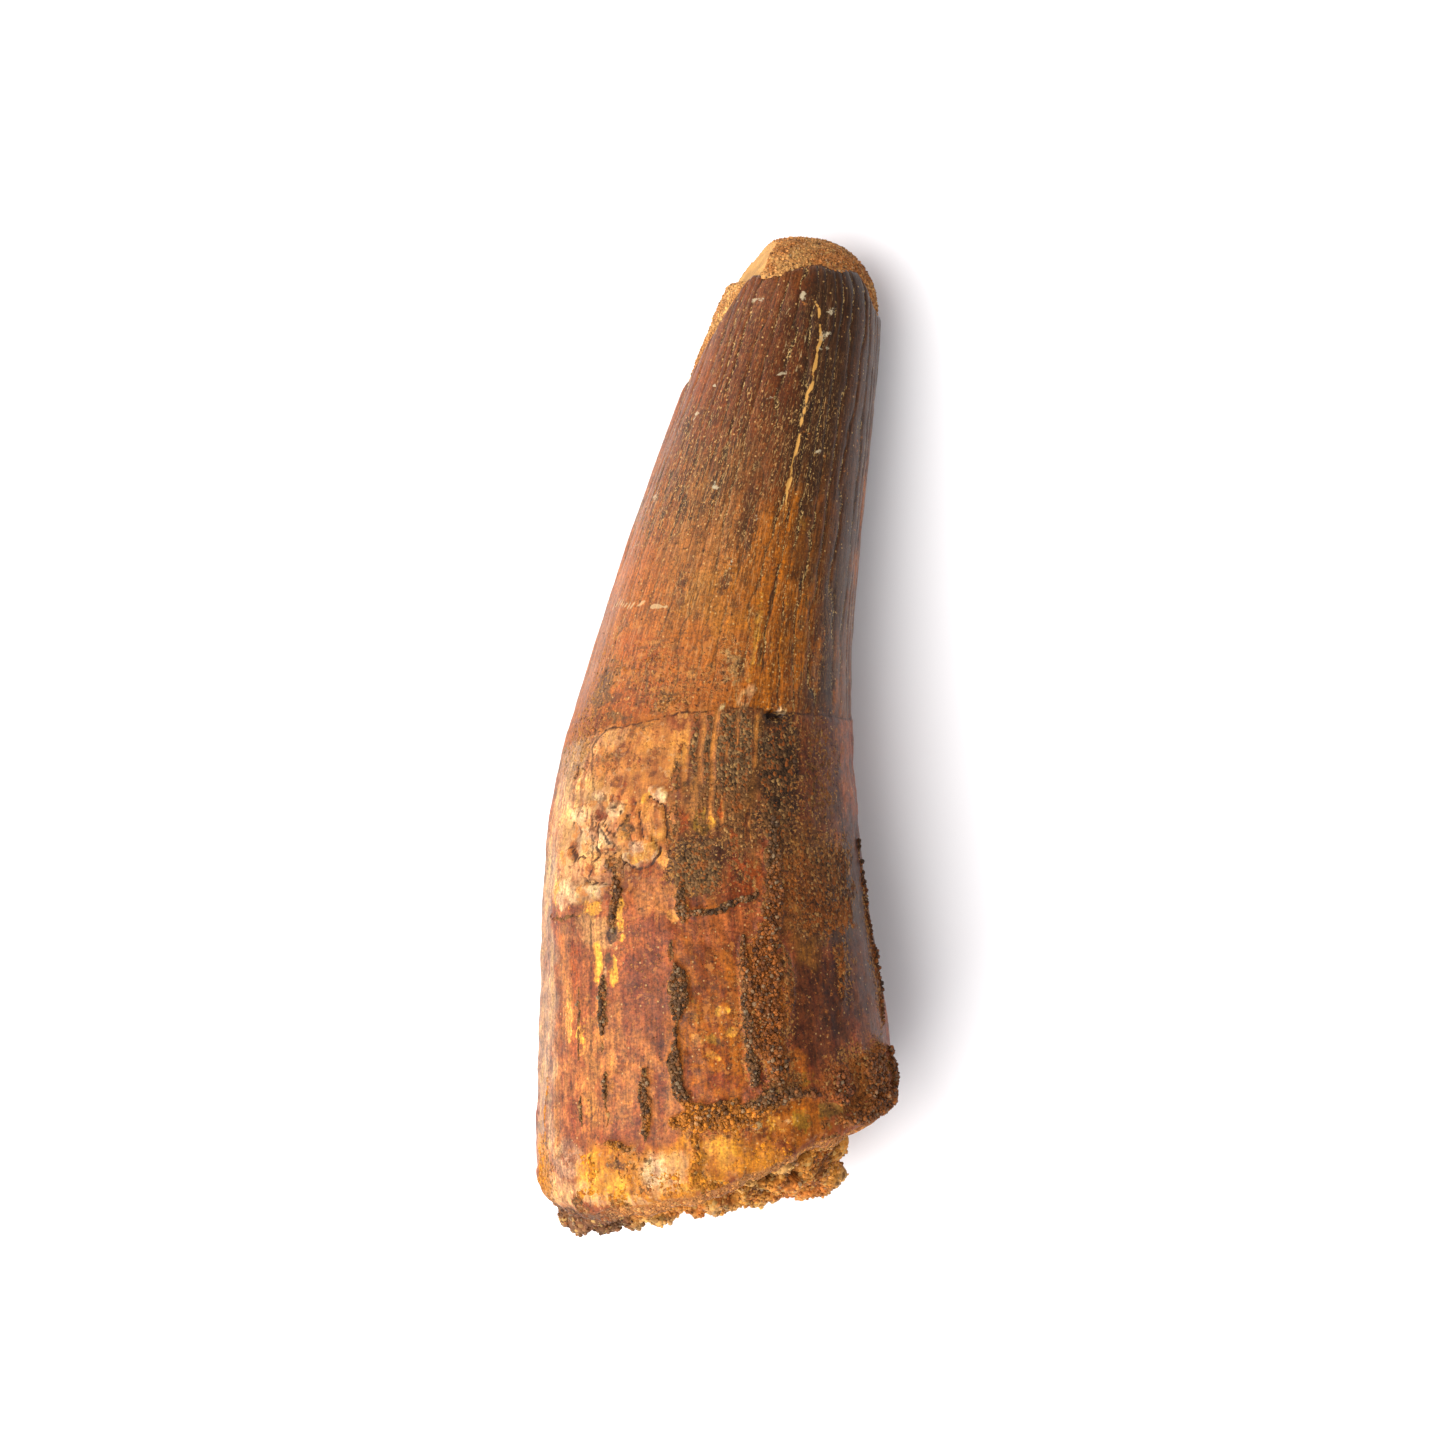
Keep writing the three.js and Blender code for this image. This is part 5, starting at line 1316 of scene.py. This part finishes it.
class FossilLook(bpy.types.PropertyGroup):
    """Sizes and colours that may be changed before the tooth is built."""

    flutes: IntProperty(name="Flutes", description="Long ridges round the crown", default=40, min=12, max=80)
    flute_depth: FloatProperty(
        name="Flute depth", description="Depth of the grooves between flutes", default=0.00011, unit="LENGTH"
    )
    grain_radius: FloatProperty(
        name="Grain radius", description="Middling radius of the sand grains", default=0.00012, unit="LENGTH"
    )
    window_power: FloatProperty(name="Window", description="Watts of the soft light", default=11.3)
    bright_side: FloatProperty(name="Bright side", description="The room's light on its side", default=2.8)
    dim_side: FloatProperty(name="Dim side", description="The room's light on the other side", default=0.5)
    patina: pigment("#d4d1bc", "Patina", "What the stained surface takes out of the light")
    caramel: pigment("#94501c", "Caramel", "The enamel's plain colour")
    chestnut: pigment("#56260c", "Chestnut", "Dark enamel near the tip")
    liver: pigment("#7a4024", "Liver", "Dull reddish enamel")
    umber: pigment("#3a1e0c", "Umber", "Dark enamel on the inner side")
    # Partly dark streaks, partly painted shade on the upper crown's inner side.
    black_brown_and_shade: pigment("#2e1404", "Black brown and shade", "The darkest streaks, and painted shade on the inner side")
    golden: pigment("#a45a08", "Golden", "Yellow-brown, clear enamel")
    honey: pigment("#c88830", "Honey", "Pale, clear enamel")
    coffee: pigment("#604022", "Coffee", "Dull dark enamel")
    russet: pigment("#a2561e", "Russet", "Reddish brown enamel")
    rust_red: pigment("#904014", "Rust red", "Patches red with iron")
    rust_brown: pigment("#80501e", "Rust brown", "Dull enamel brown with iron")
    orange: pigment("#ce8847", "Orange", "Bright weathered enamel")
    orange_brown: pigment("#b4713a", "Orange brown", "Weathered enamel")
    peach: pigment("#cf9a6e", "Peach", "Flaked, chalky enamel")
    cream: pigment("#dcb892", "Cream", "The palest scales")
    brick: pigment("#924b28", "Brick", "Red-brown enamel near the root")
    oxblood: pigment("#542812", "Oxblood", "Dark red-brown enamel near the root")
    tan: pigment("#a0643a", "Tan", "Light brown enamel")
    # Partly dust, partly a painted sheen on the outer edge, which faces the light.
    dust_and_sheen: pigment("#ae8c74", "Dust and sheen", "Enamel pale with dust and painted sheen on the outer side")
    amber: pigment("#8e4c14", "Amber", "Darker golden enamel")
    tan_grey: pigment("#96693c", "Tan grey", "Dusty brown enamel")
    sandy: pigment("#b08a5c", "Sandy", "Enamel pale with fine sand")
    olive: pigment("#92681c", "Olive", "Yellow-green enamel by the rim")
    olive_grey: pigment("#785826", "Olive grey", "Greener enamel by the rim")
    ochre: pigment("#c47a1c", "Ochre", "Ochre crust")
    rusty_ochre: pigment("#b87020", "Rusty ochre", "Ochre crust brown with iron")
    yellow_ochre: pigment("#dc9a38", "Yellow ochre", "Bright yellow crust")
    wall: pigment("#b67844", "Broken wall", "The broken edge of the root end")
    dark_earth: pigment("#6a482c", "Dark earth", "Sand dark with manganese")
    grey_earth: pigment("#735a42", "Grey earth", "Sand with less iron")
    brown_earth: pigment("#6e4626", "Brown earth", "Sand with some iron")
    manganese: pigment("#452f1e", "Manganese", "The darkest crust")
    rust_earth: pigment("#8c4f1e", "Rusty earth", "Sand brown with iron")
    deep_rust: pigment("#6c3a16", "Deep rust", "Sand dark with iron")
    rust_sand: pigment("#cc7a38", "Rusty sandstone", "The plug's plain colour")
    ochre_sand: pigment("#dc9846", "Ochre sandstone", "Yellower lumps of the plug")
    # Clean pale grains on the tip; on the plug also a painted highlight on the lump tops.
    pale_sand: pigment("#e6b276", "Pale sandstone", "Clean grains, and painted highlight on the plug's lumps")
    lobe: pigment("#644438", "Dark lobe", "The dark corner of the plug")
    # Painted shade in the plug's hollows.
    pit: pigment("#6a3a18", "Painted shade in pits", "Painted shade in the hollows between the plug's lumps")
    tip_sand: pigment("#b47440", "Tip sandstone", "The cap's plain colour")
    scar: pigment("#e8b070", "Flake scar", "Fresh stone where a flake came off")

    def pigments(self):
        """Every colour by its name, as arrays."""
        made = type(self).__annotations__
        names = [name for name in made if made[name].function is FloatVectorProperty]
        return {name: np.array(getattr(self, name)) for name in names}


class FOSSIL_OT_tooth(bpy.types.Operator):
    """Builds the fluted crown and the sand stuck to it"""

    bl_idname = "fossil.tooth"
    bl_label = "Tooth"

    def execute(self, context):
        look = context.scene.fossil_look
        sizes = {"count": 9000, "size": 1.0, "standing": 0.25, "least": 0.7, "dark": 0.2}
        strew("tooth_sand", build_tooth(look), look, "brown_sandstone", salt=11, **sizes)
        return {"FINISHED"}


class FOSSIL_OT_root_sandstone(bpy.types.Operator):
    """Builds the plug of sandstone in the root end, and its loose grains"""

    bl_idname = "fossil.root_sandstone"
    bl_label = "Root sandstone"

    def execute(self, context):
        look = context.scene.fossil_look
        sizes = {"count": 3200, "size": 1.1, "standing": 0.15, "least": 0.25, "dark": 0.08}
        strew("root_sand", build_root_sandstone(look), look, "brown_sandstone", salt=12, **sizes)
        return {"FINISHED"}


class FOSSIL_OT_tip_sandstone(bpy.types.Operator):
    """Builds the cap of sandstone on the broken tip, and its loose grains"""

    bl_idname = "fossil.tip_sandstone"
    bl_label = "Tip sandstone"

    def execute(self, context):
        look = context.scene.fossil_look
        sizes = {"count": 6000, "size": 0.6, "standing": 0.15, "least": 0.3, "dark": 0.05}
        strew("tip_sand", build_tip_sandstone(look), look, "pale_sandstone", salt=13, **sizes)
        return {"FINISHED"}


class FOSSIL_OT_stage(bpy.types.Operator):
    """Builds the pale floor, the soft lights and the camera that looks straight down"""

    bl_idname = "fossil.stage"
    bl_label = "Stage"

    def execute(self, context):
        scene = context.scene
        look = scene.fossil_look
        deselect()
        bpy.ops.mesh.primitive_plane_add(size=FLOOR_SIZE, location=(0, 0, FLOOR_LEVEL))
        floor = context.object
        floor.name = "floor"
        material, _, shader = new_material("White card")
        shader.inputs["Base Color"].default_value = (0.92, 0.915, 0.925, 1)
        shader.inputs["Roughness"].default_value = 0.9
        floor.data.materials.append(material)

        bpy.ops.object.light_add(type="AREA", location=WINDOW_PLACE)
        window = context.object
        window.name = "window"
        window.data.shape = "SQUARE"
        window.data.size = WINDOW_SIZE
        window.data.energy = look.window_power
        window.data.color = (1.0, 0.985, 0.96)
        window.rotation_euler = window.location.to_track_quat("Z", "Y").to_euler()

        # A room that is bright on the window's side and dim on the other.
        world = bpy.data.worlds.new("Studio")
        scene.world = world
        world.use_nodes = True
        tree = world.node_tree
        sky = tree.nodes["Background"]
        direction = node(tree, "ShaderNodeTexCoord", out="Generated")
        inputs = {0: direction, 1: (-0.93, -0.36, 0)}
        towards = node(tree, "ShaderNodeVectorMath", inputs, out="Value", operation="DOT_PRODUCT")
        inputs = {0: towards, 1: -0.05, 2: 0.8, 3: look.dim_side, 4: look.bright_side}
        shade = node(tree, "ShaderNodeMapRange", inputs, interpolation_type="SMOOTHSTEP")
        tree.links.new(shade, sky.inputs["Strength"])
        sky.inputs["Color"].default_value = (1.0, 0.98, 1.005, 1.0)

        eye = (VIEW_CENTRE[0] * MM, VIEW_CENTRE[1] * MM, (VIEW_HEIGHT + OUTLINE_LEVEL) * MM)
        bpy.ops.object.camera_add(location=eye, rotation=(0, 0, 0))
        camera = context.object
        camera.data.lens = CAMERA_LENS
        camera.data.sensor_width = CAMERA_SENSOR
        camera.data.clip_start = 0.01
        scene.camera = camera
        scene.view_settings.view_transform = "Standard"
        return {"FINISHED"}


class FOSSIL_PT_panel(bpy.types.Panel):
    """Lists the sizes and colours, and a button for each piece"""

    bl_idname = "FOSSIL_PT_panel"
    bl_label = "Fossil tooth"
    bl_space_type = "VIEW_3D"
    bl_region_type = "UI"
    bl_category = "Fossil"

    def draw(self, context):
        look = context.scene.fossil_look
        for name in type(look).__annotations__:
            self.layout.prop(look, name)
        for operator in OPERATORS:
            self.layout.operator(operator.bl_idname)


OPERATORS = (FOSSIL_OT_stage, FOSSIL_OT_tooth, FOSSIL_OT_root_sandstone, FOSSIL_OT_tip_sandstone)


def register():
    for cls in (FossilLook, *OPERATORS, FOSSIL_PT_panel):
        bpy.utils.register_class(cls)
    bpy.types.Scene.fossil_look = PointerProperty(type=FossilLook)


def unregister():
    del bpy.types.Scene.fossil_look
    for cls in (FOSSIL_PT_panel, *reversed(OPERATORS), FossilLook):
        bpy.utils.unregister_class(cls)


def main():
    register()
    bpy.ops.fossil.stage()
    bpy.ops.fossil.tooth()
    bpy.ops.fossil.root_sandstone()
    bpy.ops.fossil.tip_sandstone()


if __name__ == "__main__":
    main()
